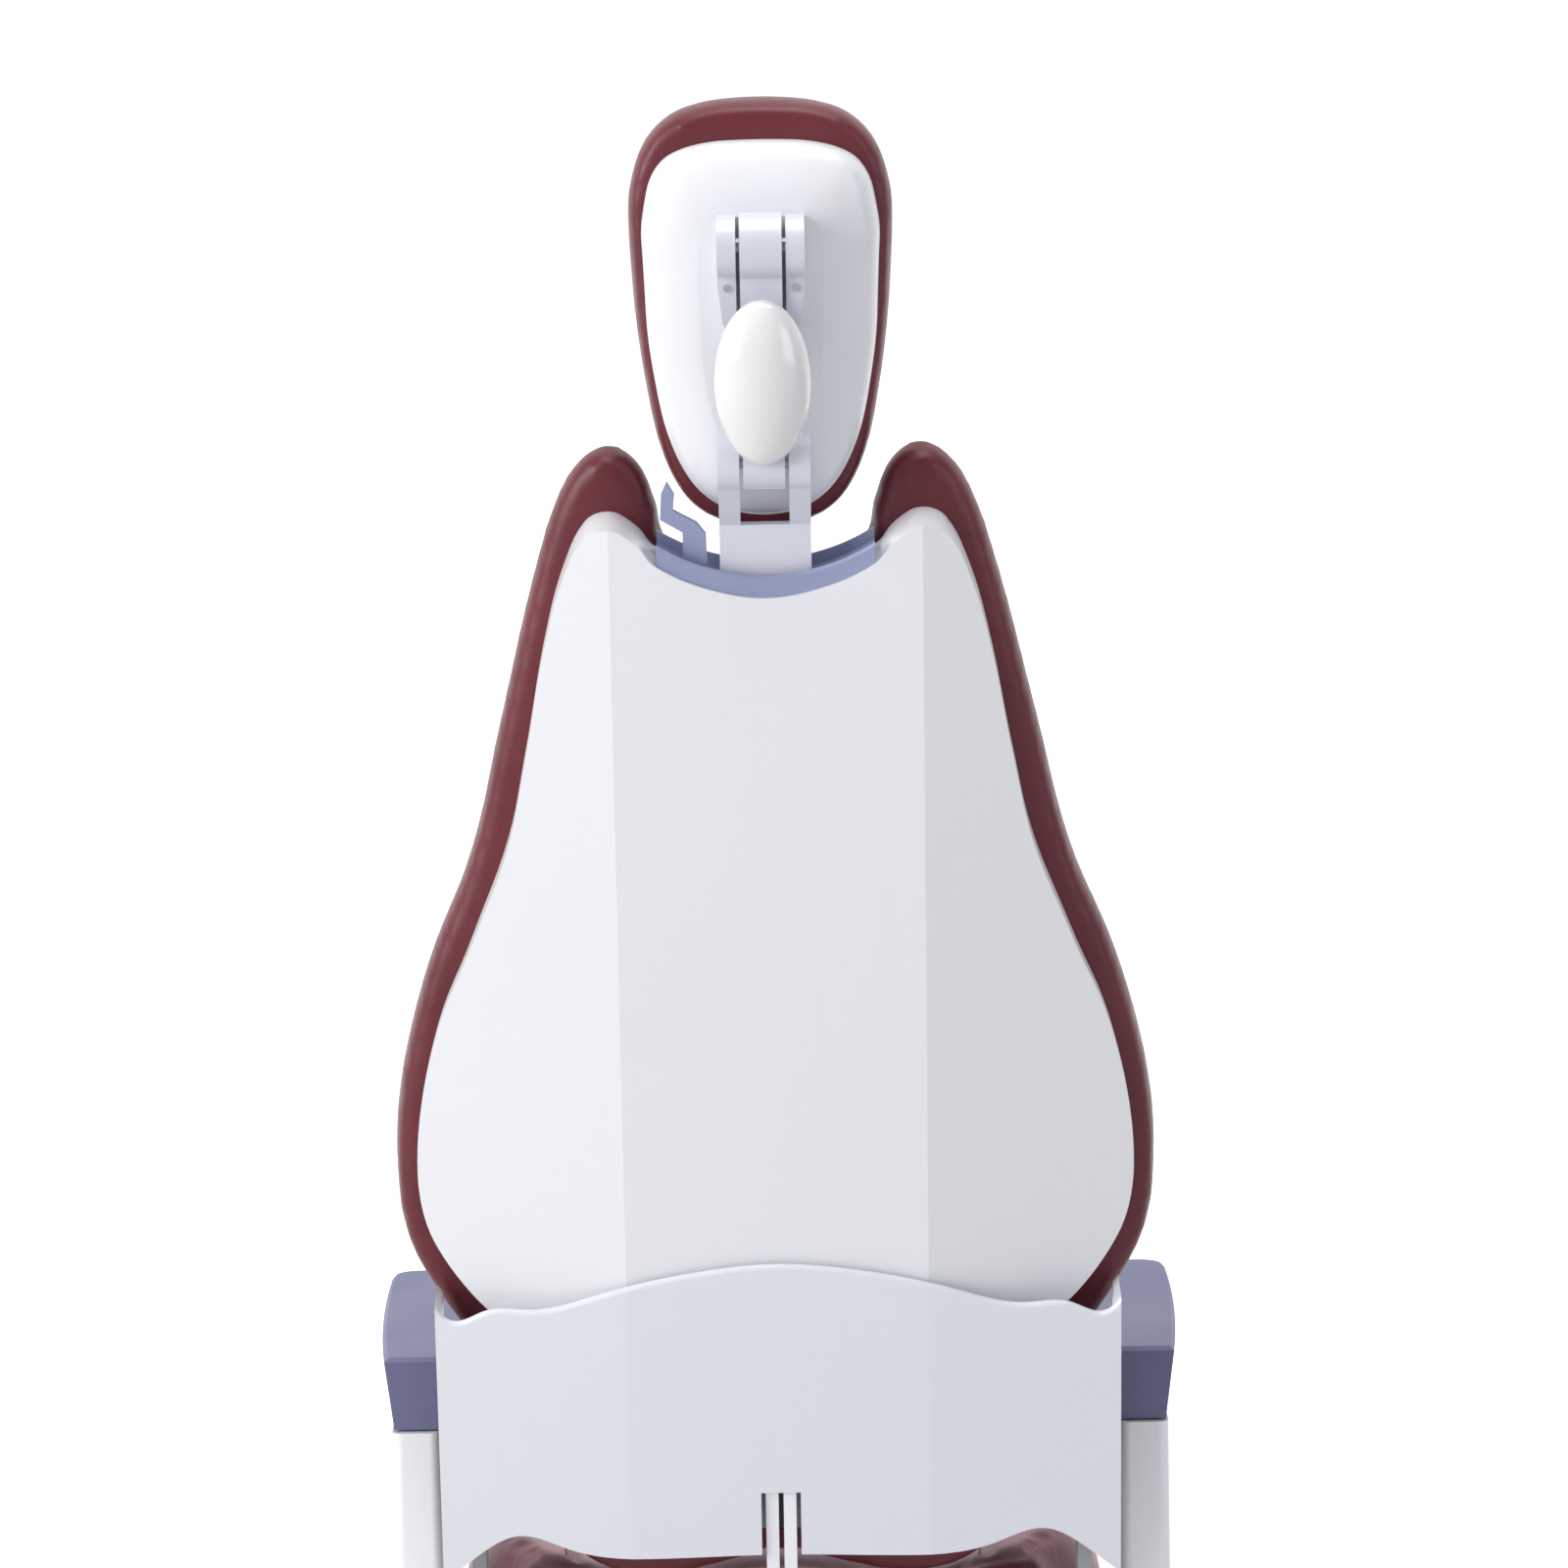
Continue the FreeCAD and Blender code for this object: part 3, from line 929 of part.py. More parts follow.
# Twin crank plates and their pin
lean = math.radians(BACK_ANGLE)
crank_w = -BACK_CRANK_R * math.sin(RECLINE_HALF + lean)
crank_v = -BACK_CRANK_R * math.cos(RECLINE_HALF + lean)
CRANK_REAR_W = SHELL_CENTRE_W - 4.0
CRANK_TOP_V = 150.0
crank = fuse(
    plate_x([(FRAME_W, CRANK_TOP_V), (CRANK_REAR_W, CRANK_TOP_V), (CRANK_REAR_W, 0),
             (crank_w - CRANK_BOSS_R, crank_v), (crank_w + CRANK_BOSS_R, crank_v),
             (FRAME_W, 30)], CRANK_PLATE_GAP / 2, plates_half),
    rod_x(CRANK_BOSS_R, CRANK_PLATE_GAP / 2, plates_half, crank_w, crank_v))
crank = crank.cut(rod_x(CRANK_PIN_R, 0, plates_half + 1, crank_w, crank_v))
crank_plates = Part.makeCompound([crank, mirror_x(crank)])
crank_pin = rod_x(CRANK_PIN_R, -fork_out, fork_out, crank_w, crank_v)

# Hinge cover: three flatter panels, wavy lip, side walls and a notch for the crank plates


def wave(points, w):
    """Smooth edge through points given for one side and mirrored to the other."""
    run = [(-x, v) for x, v in reversed(points[1:])] + list(points)
    curve = Part.BSplineCurve()
    curve.interpolate([Vec(x, w, v) for x, v in run])
    return curve


far_w = -200.0
top_edge = wave(COVER_TOP, far_w)
bottom_edge = wave(list(reversed(COVER_BOTTOM)), far_w)
sides = [Part.LineSegment(top_edge.EndPoint, bottom_edge.EndPoint),
         Part.LineSegment(bottom_edge.StartPoint, top_edge.StartPoint)]
ring = Part.Wire(Part.__sortEdges__([e.toShape() for e in (top_edge, bottom_edge, *sides)]))
cover = Part.Face(ring).extrude(Vec(0, COVER_FRONT_W - far_w, 0))
cover = cover.cut(behind_fold(COVER_STANDOFF, COVER_SLOPE))
inside = COVER_HALF - SHELL_WALL
hollow = box(-inside, inside, far_w, COVER_FRONT_W + 1, V_LOW, V_HIGH)
cover = cover.cut(hollow.cut(behind_fold(COVER_STANDOFF - SHELL_WALL, COVER_SLOPE)))
LIP_ROUND = 3.0
lip = []
for edge in cover.Edges:
    middle = edge.valueAt((edge.FirstParameter + edge.LastParameter) / 2)
    rear_face_w = fold_w(middle.x, COVER_SLOPE) - COVER_STANDOFF
    if edge.BoundBox.ZMin > NOTCH_TOP_V and abs(middle.y - rear_face_w) < 0.1:
        lip.append(edge)
cover = cover.makeFillet(LIP_ROUND, lip)
COVER_BOSS_U = 130.0
for v in (150.0, 215.0):
    for s in (-1, 1):
        boss_w = fold_w(COVER_BOSS_U, COVER_SLOPE) - COVER_STANDOFF + SHELL_WALL / 2
        cover = cover.fuse(rod_y(BOSS_R, boss_w, FRAME_W, s * COVER_BOSS_U, v))
hinge_cover = cover.cut(box(-NOTCH_HALF, NOTCH_HALF, far_w, 0, V_LOW, NOTCH_TOP_V))

# Guide channel of the headrest bar, with an ear for the release lever
GUIDE_WALL = 5.0
GUIDE_LOW_V = FRAME_TOP_V + 8.0
GUIDE_TOP_V = dip_v - 5.0
GUIDE_PLAY = 0.2
guide = box(-bar_half - GUIDE_WALL, bar_half + GUIDE_WALL, bar_w0 - GUIDE_WALL,
            bar_w1 + GUIDE_WALL, GUIDE_LOW_V, GUIDE_TOP_V)
tongue = box(-bar_half - 2 * GUIDE_WALL, bar_half + 2 * GUIDE_WALL, frame_front_w,
             frame_front_w + FRAME_THICK, FRAME_TOP_V - 70, GUIDE_LOW_V + 60)
EAR_T = 3.0
lever_ear = box(LEVER_U - 12, -bar_half - 1, bar_w0 - GUIDE_WALL, bar_w0 - GUIDE_WALL + EAR_T,
                LEVER_V - 14, GUIDE_TOP_V)
LEVER_PIN_R = 3.0
guide = fuse(guide, tongue, lever_ear)
guide = guide.cut(box(-bar_half - GUIDE_PLAY, bar_half + GUIDE_PLAY, bar_w0 - GUIDE_PLAY,
                      bar_w1 + GUIDE_PLAY, GUIDE_LOW_V - 1, GUIDE_TOP_V + 1))
glide_guide = guide.cut(rod_y(LEVER_PIN_R, bar_w0 - 20, bar_w0, LEVER_U, LEVER_V))
lever_pivot = rod_y(LEVER_PIN_R, bar_w0 - GUIDE_WALL, bar_w1 + 1, LEVER_U, LEVER_V)

# Release lever: hub, stem, sideways crank and an upright finger tip
LEVER_HUB_R = 8.5
lever_line = [(8, 0), (7, 54), (1, 62), (-15, 71), (-14, 82), (-19, 91), (-23, 82), (-24, 65),
              (-9, 56), (-8, 0)]
ring = [Vec(LEVER_U + x, bar_w0 + 1, LEVER_V + v) for x, v in lever_line]
lever = Part.Face(Part.makePolygon(ring + ring[:1])).extrude(Vec(0, BAR_THICK - 2, 0))
lever = fuse(lever, rod_y(LEVER_HUB_R, bar_w0 + 1, bar_w1 - 1, LEVER_U, LEVER_V))
bar_lock_lever = lever.cut(rod_y(LEVER_PIN_R + RUNNING, bar_w0, bar_w1, LEVER_U, LEVER_V))

# Glide bar with the fork of the lower head joint
FORK_IN = CENTRE_KNUCKLE / 2 + KNUCKLE_GAP
fork = fuse(plate_x([(bar_w0, FORK_WINDOW_V), (bar_w1, FORK_WINDOW_V),
                     (LOW_HINGE_W + LOW_KNUCKLE_R, LOW_HINGE_V),
                     (LOW_HINGE_W - LOW_KNUCKLE_R, LOW_HINGE_V)], FORK_IN, bar_half),
            rod_x(LOW_KNUCKLE_R, FORK_IN, bar_half, LOW_HINGE_W, LOW_HINGE_V))
bar = box(-bar_half, bar_half, bar_w0, bar_w1, BAR_BOTTOM_V, FORK_WINDOW_V)
glide_bar = fuse(bar, fork, mirror_x(fork))
glide_bar = glide_bar.cut(rod_x(HEAD_PIN_R, -bar_half - 1, bar_half + 1, LOW_HINGE_W, LOW_HINGE_V))
lower_hinge_pin = rod_x(HEAD_PIN_R, -bar_half, bar_half, LOW_HINGE_W, LOW_HINGE_V)

# Head link between the two joints
link_half = CENTRE_KNUCKLE / 2
link = fuse(
    plate_x([(LOW_HINGE_W - LINK_THICK / 2, LOW_HINGE_V), (LOW_HINGE_W + LINK_THICK / 2, LOW_HINGE_V),
             (TOP_HINGE_W + LINK_THICK / 2, TOP_HINGE_V), (TOP_HINGE_W - LINK_THICK / 2, TOP_HINGE_V)],
            -link_half, link_half),
    rod_x(LOW_KNUCKLE_R, -link_half, link_half, LOW_HINGE_W, LOW_HINGE_V),
    rod_x(TOP_KNUCKLE_R, -link_half, link_half, TOP_HINGE_W, TOP_HINGE_V))
PADDLE_GAP = 14.0
paddle_front_w = (LOW_HINGE_W + TOP_HINGE_W) / 2 - LINK_THICK / 2 - PADDLE_GAP
PADDLE_PIN_V = PADDLE_V + 18.0
PADDLE_PIN_R = 3.0
PADDLE_PIN_DEPTH = 7.0
PADDLE_SWING = 12.0
paddle_pin_w = paddle_front_w - PADDLE_PIN_DEPTH
BOSS_HALF = 6.0
BOSS_ROUND = 6.0
boss = fuse(box(-BOSS_HALF, BOSS_HALF, paddle_pin_w, paddle_front_w + PADDLE_GAP + LINK_THICK / 4,
                PADDLE_PIN_V - BOSS_ROUND, PADDLE_PIN_V + BOSS_ROUND),
            rod_x(BOSS_ROUND, -BOSS_HALF, BOSS_HALF, paddle_pin_w, PADDLE_PIN_V))
link = fuse(link, boss)
for w, v in ((LOW_HINGE_W, LOW_HINGE_V), (TOP_HINGE_W, TOP_HINGE_V)):
    link = link.cut(rod_x(HEAD_PIN_R + RUNNING, -link_half - 1, link_half + 1, w, v))
head_link = link.cut(rod_x(PADDLE_PIN_R, -link_half, link_half, paddle_pin_w, PADDLE_PIN_V))

# Lock paddle: a smooth oval pebble with a pocket for its boss
pebble = Part.makeSphere(1.0)
stretch = FreeCAD.Matrix()
stretch.scale(PADDLE_WIDTH / 2, PADDLE_THICK, PADDLE_HEIGHT / 2)
pebble = pebble.transformGeometry(stretch)
pebble.translate(Vec(0, paddle_front_w, PADDLE_V))
pebble = pebble.cut(box(-PADDLE_WIDTH, PADDLE_WIDTH, paddle_front_w, paddle_front_w + 2 * PADDLE_THICK,
                        PADDLE_V - PADDLE_HEIGHT, PADDLE_V + PADDLE_HEIGHT))
POCKET_GAP = 0.7
pocket_half = BOSS_HALF + POCKET_GAP
mouth = BOSS_ROUND + PADDLE_PIN_DEPTH * math.tan(math.radians(PADDLE_SWING)) + POCKET_GAP
pebble = pebble.cut(fuse(
    rod_x(BOSS_ROUND + POCKET_GAP, -pocket_half, pocket_half, paddle_pin_w, PADDLE_PIN_V),
    box(-pocket_half, pocket_half, paddle_pin_w, paddle_front_w + 1,
        PADDLE_PIN_V - mouth, PADDLE_PIN_V + mouth)))
PADDLE_PIN_HALF = 14.0
lock_paddle = pebble.cut(rod_x(PADDLE_PIN_R + RUNNING, -PADDLE_PIN_HALF - 0.5, PADDLE_PIN_HALF + 0.5,
                               paddle_pin_w, PADDLE_PIN_V))
paddle_pin = rod_x(PADDLE_PIN_R, -PADDLE_PIN_HALF, PADDLE_PIN_HALF, paddle_pin_w, PADDLE_PIN_V)

# Headrest shell, domed and hollow
head_shell_line = Outline(HEAD_SHELL_HALF)
rear_w = HEAD_SHELL_REAR_W
HEAD_WALL = 3.5
head_face_line = Outline(HEAD_FACE_HALF)
dome = [(HEAD_SHELL_FRONT_W, 0.0), (HEAD_SHELL_FRONT_W - 10, 1.0), (rear_w + 12, 6.0), (rear_w + 7, 14.0)]


def head_dome(shrink):
    """Domed form of the headrest shell; its flat rear face ends at a soft ridge near the top."""
    wires = [head_shell_line.wire(inset + shrink, upright(w + shrink)) for w, inset in dome]
    wires.append(head_face_line.wire(shrink, upright(rear_w + shrink)))
    return Part.makeLoft(wires, True, False, False, 2)


head_shell = head_dome(0.0).cut(head_dome(HEAD_WALL))

# Headrest upholstery
head_cushion_line = Outline(HEAD_CUSHION_HALF)
HEAD_EDGE_INSET = 30.0
HEAD_CROWN = 6.0
HEAD_MIDDLE_V = 985.0
head_layers = [(HEAD_SHELL_FRONT_W, 5.0), (HEAD_SHELL_FRONT_W + 9, 0.6),
               (HEAD_SHELL_FRONT_W + 24, 0.0), (HEAD_CUSHION_FRONT_W - 16, 6.0),
               (HEAD_CUSHION_FRONT_W - 5, 16.0), (HEAD_CUSHION_FRONT_W, HEAD_EDGE_INSET)]
head_cushion = layered(head_cushion_line, head_layers).fuse(
    crown(head_cushion_line, HEAD_EDGE_INSET,
          lambda rise, scale: leaning(HEAD_CUSHION_FRONT_W + rise, 0.0, HEAD_MIDDLE_V, scale),
          HEAD_CROWN))

# Bracket with a tongue at each side of the link, outer knuckles, screws and hinge pin
top_half = TOP_OUTER / 2
BRACKET_BASE = 3.0
TONGUE_W = TOP_HINGE_W - 4.0   # rear face of the tongues
foot_w0 = rear_w - BRACKET_BASE
FOOT_RISE = 14.0
foot_half = [(top_half, FOOT_RISE), (top_half, -26), (top_half - 3, -52), (top_half - 14, -74)]
foot = foot_half + [(-x, v) for x, v in reversed(foot_half)]
ring = [Vec(x, TONGUE_W, TOP_HINGE_V + v) for x, v in foot]
bracket = Part.Face(Part.makePolygon(ring + ring[:1])).extrude(Vec(0, rear_w - TONGUE_W, 0))
bracket = bracket.cut(box(-FORK_IN, FORK_IN, TONGUE_W - 1, foot_w0, LOW_HINGE_V, V_HIGH))
knuckle = fuse(rod_x(TOP_KNUCKLE_R - KNUCKLE_STEP, FORK_IN, top_half, TOP_HINGE_W, TOP_HINGE_V),
               box(FORK_IN, top_half, TOP_HINGE_W, foot_w0, TOP_HINGE_V - 20, TOP_HINGE_V + FOOT_RISE))
bracket = fuse(bracket, knuckle, mirror_x(knuckle))
head_bracket = bracket.cut(rod_x(HEAD_PIN_R, -top_half - 1, top_half + 1, TOP_HINGE_W, TOP_HINGE_V))
upper_hinge_pin = rod_x(HEAD_PIN_R, -top_half, top_half, TOP_HINGE_W, TOP_HINGE_V)
SCREW_R = 2.5
SCREW_HEAD = 1.6
SCREW_DROP = 28.0
screw_x = (FORK_IN + top_half) / 2
screws = [rod_y(SCREW_R, TONGUE_W - SCREW_HEAD, TONGUE_W, s * screw_x, TOP_HINGE_V - SCREW_DROP)
          for s in (-1, 1)]
bracket_screws = Part.makeCompound(screws)

# Write every piece in its place
upright_pieces = {
    "back_shell": back_shell, "yoke_trim": yoke_trim, "back_cushion": back_cushion,
    "back_board": back_board, "back_frame": back_frame, "hinge_bushes": hinge_bushes,
    "crank_plates": crank_plates, "crank_pin": crank_pin, "hinge_cover": hinge_cover,
    "glide_guide": glide_guide, "lever_pivot": lever_pivot, "bar_lock_lever": bar_lock_lever,
    "glide_bar": glide_bar, "lower_hinge_pin": lower_hinge_pin, "head_link": head_link,
    "lock_paddle": lock_paddle, "paddle_pin": paddle_pin, "head_shell": head_shell,
    "head_cushion": head_cushion, "head_bracket": head_bracket,
    "upper_hinge_pin": upper_hinge_pin, "bracket_screws": bracket_screws}
pieces = {
    "base_plate": base_plate, "pivot_tower": pivot_tower, "tower_bolts": tower_bolts,
    "base_pivot_pins": base_pivot_pins, "carriage_pivot_pins": carriage_pivot_pins,
    "base_cover_left": base_cover_left, "base_cover_right": base_cover_right,
    "tower_cover": tower_cover, "upper_lift_arm": upper_lift_arm,
    "lower_lift_arm": lower_lift_arm, "lift_crank_pin": lift_crank_pin,
    "lift_arm_cover": lift_arm_cover, "lift_actuator": lift_actuator, "lift_rod": lift_rod,
    "carriage_left": carriage_left, "carriage_right": carriage_right,
    "carriage_cover": carriage_cover, "seat_frame": seat_frame,
    "leg_rails": leg_rails, "hinge_bracket_left": hinge_bracket_left,
    "hinge_bracket_right": hinge_bracket_right,
    "back_hinge_pins": back_hinge_pins, "seat_board": seat_board, "seat_tray": seat_tray,
    "leg_board": leg_board, "seat_cushion": seat_cushion, "leg_cushion": leg_cushion,
    "back_actuator": back_actuator, "back_rod": back_rod,
    "armrest_post_left": armrest_post_left, "armrest_post_right": armrest_post_right,
    "armrest_spindles": armrest_spindles, "armrest_pad_left": armrest_pad_left,
    "armrest_pad_right": armrest_pad_right}
for name, shape in upright_pieces.items():
    export(name, on_back(shape))
for name, shape in pieces.items():
    export(name, shape)
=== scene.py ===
import json
import math

import bpy
from mathutils import Matrix, Vector
from mathutils.bvhtree import BVHTree
from mathutils.kdtree import KDTree


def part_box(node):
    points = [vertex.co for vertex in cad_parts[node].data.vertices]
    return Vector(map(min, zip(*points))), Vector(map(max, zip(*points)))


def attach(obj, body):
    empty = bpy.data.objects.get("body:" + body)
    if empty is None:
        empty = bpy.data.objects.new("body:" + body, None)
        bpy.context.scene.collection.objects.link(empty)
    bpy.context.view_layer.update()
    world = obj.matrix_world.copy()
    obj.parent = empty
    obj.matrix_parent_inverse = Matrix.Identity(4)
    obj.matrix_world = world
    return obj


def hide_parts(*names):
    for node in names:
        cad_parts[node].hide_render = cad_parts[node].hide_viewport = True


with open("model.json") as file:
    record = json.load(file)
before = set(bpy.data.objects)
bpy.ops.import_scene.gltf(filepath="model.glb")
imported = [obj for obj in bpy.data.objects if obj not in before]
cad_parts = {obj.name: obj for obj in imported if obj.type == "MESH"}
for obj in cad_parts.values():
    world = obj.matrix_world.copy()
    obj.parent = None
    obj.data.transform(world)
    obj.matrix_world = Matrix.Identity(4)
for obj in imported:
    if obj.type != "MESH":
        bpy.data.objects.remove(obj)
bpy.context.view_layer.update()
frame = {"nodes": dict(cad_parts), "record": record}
nodes = frame["nodes"]
scene = bpy.context.scene
scene.view_settings.view_transform = "Standard"

# The back's own frame: hinge point and lean from upright
HINGE = Vector((0.0, -0.215, 0.385))
LEAN = math.radians(12.0)

# The seat: top of its board, front edge of the board and slope of the leg board
SEAT_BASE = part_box("seat_board")[1][2]
SEAT_FRONT = 0.235
LEG_SLOPE = math.radians(22.0)


def back_point(u, w, v):
    """Row-frame place of a point given across, forward and up in the back's own frame."""
    y = w * math.cos(LEAN) - v * math.sin(LEAN)
    z = w * math.sin(LEAN) + v * math.cos(LEAN)
    return HINGE + Vector((u, y, z))


def back_depth(co):
    """How far forward a point is in the back's own frame."""
    d = co - HINGE
    return d.y * math.cos(LEAN) + d.z * math.sin(LEAN)


def leg_height(co):
    """Height over the sloping leg board."""
    return (co.z - SEAT_BASE) * math.cos(LEG_SLOPE) + (co.y - SEAT_FRONT) * math.sin(LEG_SLOPE)


# Materials
CLOUD_SCALE = 3.0
GLOSS_SCALE = 9.0
SKIN_DEPTH = 0.0004
COAT_ROUGHNESS = 0.12
GRAIN_SCALE = 720.0
GRAIN_EDGE = 0.22
GRAIN_DEPTH = 0.0003
HIDE_CLOUD_SCALE = 14.0
HIDE_GLOSS_SCALE = 60.0
HIDE_WAVE_SCALE = 34.0
HIDE_WAVE_DEPTH = 0.002
SHEEN_TINT = (1.0, 0.72, 0.76, 1.0)
WOOD_STRETCH = (40, 3, 40)


def new_material(name):
    mat = bpy.data.materials.new(name)
    mat.use_nodes = True
    tree = mat.node_tree
    return mat, tree, tree.nodes["Principled BSDF"]


def place(tree, stretch=(1, 1, 1)):
    """Object coordinates, stretched for grain that runs one way."""
    coords = tree.nodes.new("ShaderNodeTexCoord")
    mapping = tree.nodes.new("ShaderNodeMapping")
    mapping.inputs["Scale"].default_value = stretch
    tree.links.new(coords.outputs["Object"], mapping.inputs["Vector"])
    return mapping.outputs["Vector"]


def noise(tree, vector, scale, detail=3.0, rough=0.5):
    node = tree.nodes.new("ShaderNodeTexNoise")
    node.inputs["Scale"].default_value = scale
    node.inputs["Detail"].default_value = detail
    node.inputs["Roughness"].default_value = rough
    tree.links.new(vector, node.inputs["Vector"])
    return node.outputs["Fac"]


def ramp(tree, factor, low, high, start=0.3, stop=0.7):
    """Colour that goes from low to high between two values of the factor."""
    node = tree.nodes.new("ShaderNodeValToRGB")
    node.color_ramp.elements[0].position = start
    node.color_ramp.elements[1].position = stop
    node.color_ramp.elements[0].color = (*low, 1)
    node.color_ramp.elements[1].color = (*high, 1)
    tree.links.new(factor, node.inputs["Fac"])
    return node.outputs["Color"]


def spread(tree, value, low, high, start=0.25, stop=0.75):
    """Number that goes from low to high between two values of another."""
    node = tree.nodes.new("ShaderNodeMapRange")
    node.inputs["From Min"].default_value = start
    node.inputs["From Max"].default_value = stop
    node.inputs["To Min"].default_value = low
    node.inputs["To Max"].default_value = high
    tree.links.new(value, node.inputs["Value"])
    return node.outputs["Result"]


def bump(tree, height, strength, distance, normal):
    """Relief from a height, fed into the given normal socket."""
    node = tree.nodes.new("ShaderNodeBump")
    node.inputs["Strength"].default_value = strength
    node.inputs["Distance"].default_value = distance
    tree.links.new(height, node.inputs["Height"])
    tree.links.new(node.outputs["Normal"], normal)
    return node


def along_y(tree, coordinate):
    coords = tree.nodes.new("ShaderNodeTexCoord")
    split = tree.nodes.new("ShaderNodeSeparateXYZ")
    tree.links.new(coords.outputs[coordinate], split.inputs["Vector"])
    return split.outputs["Y"]


def moulded(name, low, high, rough, grain, strength, coat=0.0, metal=0.0, stretch=(1, 1, 1)):
    """Plastic, paint or metal: mottled colour, uneven gloss and a fine skin texture."""
    mat, tree, bsdf = new_material(name)
    vector = place(tree, stretch)
    cloudy = noise(tree, vector, CLOUD_SCALE, 2.0)
    gloss = noise(tree, vector, GLOSS_SCALE, 2.0)
    tree.links.new(ramp(tree, cloudy, low, high, 0.2, 0.8), bsdf.inputs["Base Color"])
    tree.links.new(spread(tree, gloss, *rough), bsdf.inputs["Roughness"])
    bsdf.inputs["Coat Weight"].default_value = coat
    bsdf.inputs["Coat Roughness"].default_value = COAT_ROUGHNESS
    bsdf.inputs["Metallic"].default_value = metal
    bump(tree, noise(tree, vector, grain, 2.0), strength, SKIN_DEPTH, bsdf.inputs["Normal"])
    return mat


def leather(name, low, high, rough, sheen):
    """Coated upholstery: pebbled grain over slow waves, soft sheen and slow colour change."""
    mat, tree, bsdf = new_material(name)
    vector = place(tree)
    cells = tree.nodes.new("ShaderNodeTexVoronoi")
    cells.feature = "DISTANCE_TO_EDGE"
    cells.inputs["Scale"].default_value = GRAIN_SCALE
    tree.links.new(vector, cells.inputs["Vector"])
    pebble = ramp(tree, cells.outputs["Distance"], (0, 0, 0), (1, 1, 1), 0.0, GRAIN_EDGE)
    cloudy = noise(tree, vector, HIDE_CLOUD_SCALE, 4.0)
    gloss = noise(tree, vector, HIDE_GLOSS_SCALE, 4.0)
    waves = noise(tree, vector, HIDE_WAVE_SCALE, 3.0)
    tree.links.new(ramp(tree, cloudy, low, high, 0.25, 0.8), bsdf.inputs["Base Color"])
    tree.links.new(spread(tree, gloss, *rough), bsdf.inputs["Roughness"])
    bsdf.inputs["Sheen Weight"].default_value = sheen
    bsdf.inputs["Sheen Roughness"].default_value = 0.4
    bsdf.inputs["Sheen Tint"].default_value = SHEEN_TINT
    bsdf.inputs["Specular IOR Level"].default_value = 0.40
    fine = bump(tree, pebble, 0.22, GRAIN_DEPTH, bsdf.inputs["Normal"])
    bump(tree, waves, 0.25, HIDE_WAVE_DEPTH, fine.inputs["Normal"])
    return mat


def plywood(name, low, high):
    """Board with its grain along Y."""
    mat, tree, bsdf = new_material(name)
    grain = noise(tree, place(tree, WOOD_STRETCH), 3.0, 6.0, 0.6)
    tree.links.new(ramp(tree, grain, low, high), bsdf.inputs["Base Color"])
    tree.links.new(spread(tree, grain, 0.55, 0.75), bsdf.inputs["Roughness"])
    bump(tree, grain, 0.2, 0.0005, bsdf.inputs["Normal"])
    return mat


def finish_with(obj, material):
    obj.data.materials.clear()
    obj.data.materials.append(material)


MAROON = leather("maroon_upholstery", (0.116, 0.017, 0.024), (0.155, 0.026, 0.035),
                 (0.30, 0.40), sheen=0.05)
# Seat and leg leather: a lighter copy of the maroon upholstery with a strong pink sheen, painted light
# that makes the seat and leg cushions look brightly lit
LIT_SEAT_MAROON = leather("maroon_seat_lit", (0.13, 0.020, 0.028), (0.17, 0.030, 0.040),
                      (0.44, 0.52), sheen=1.0)
WHITE = moulded("white_shell", (0.805, 0.815, 0.84), (0.82, 0.83, 0.855),
                (0.29, 0.33), 900.0, 0.02, coat=0.25)
PEBBLE = moulded("warm_white_paddle", (0.79, 0.785, 0.78), (0.82, 0.818, 0.812),
                 (0.12, 0.2), 700.0, 0.03, coat=0.6)
BLUE = moulded("blue_grey_plastic", (0.145, 0.15, 0.275), (0.165, 0.172, 0.30),
               (0.42, 0.55), 1500.0, 0.2)
TRIM = moulded("blue_grey_trim", (0.27, 0.30, 0.47), (0.31, 0.34, 0.51),
               (0.3, 0.42), 1300.0, 0.1)
PAINT = moulded("white_paint", (0.88, 0.885, 0.91), (0.90, 0.905, 0.93),
                (0.30, 0.36), 520.0, 0.04, coat=0.15)
# Hinge cover: a darker, bluer copy of the white shell plastic, painted shade
SHADED_COVER = moulded("cover_plastic_shaded", (0.75, 0.757, 0.81), (0.765, 0.772, 0.825),
                (0.29, 0.33), 900.0, 0.02, coat=0.25)
# Glide bar: a darker, bluer copy of the white paint, painted shade
SHADED_BAR = moulded("bar_paint_shaded", (0.67, 0.68, 0.765), (0.70, 0.71, 0.795),
              (0.30, 0.36), 520.0, 0.04, coat=0.15)
GREY = moulded("grey_paint", (0.36, 0.37, 0.40), (0.42, 0.43, 0.46),
               (0.4, 0.55), 520.0, 0.15)
SILVER = moulded("satin_silver", (0.66, 0.67, 0.75), (0.70, 0.71, 0.79),
                 (0.32, 0.4), 420.0, 0.05, coat=0.1, metal=0.12)
STEEL = moulded("brushed_steel", (0.50, 0.51, 0.53), (0.60, 0.61, 0.63),
                (0.29, 0.42), 260.0, 0.12, metal=1.0, stretch=(1, 9, 9))
BRONZE = moulded("bearing_bronze", (0.45, 0.28, 0.12), (0.55, 0.36, 0.17),
                 (0.35, 0.5), 400.0, 0.1, metal=1.0)
THREAD = moulded("maroon_thread", (0.17, 0.035, 0.045), (0.22, 0.05, 0.06),
                 (0.5, 0.65), 2400.0, 0.3)
WOOD = plywood("birch_board", (0.42, 0.27, 0.14), (0.60, 0.43, 0.25))

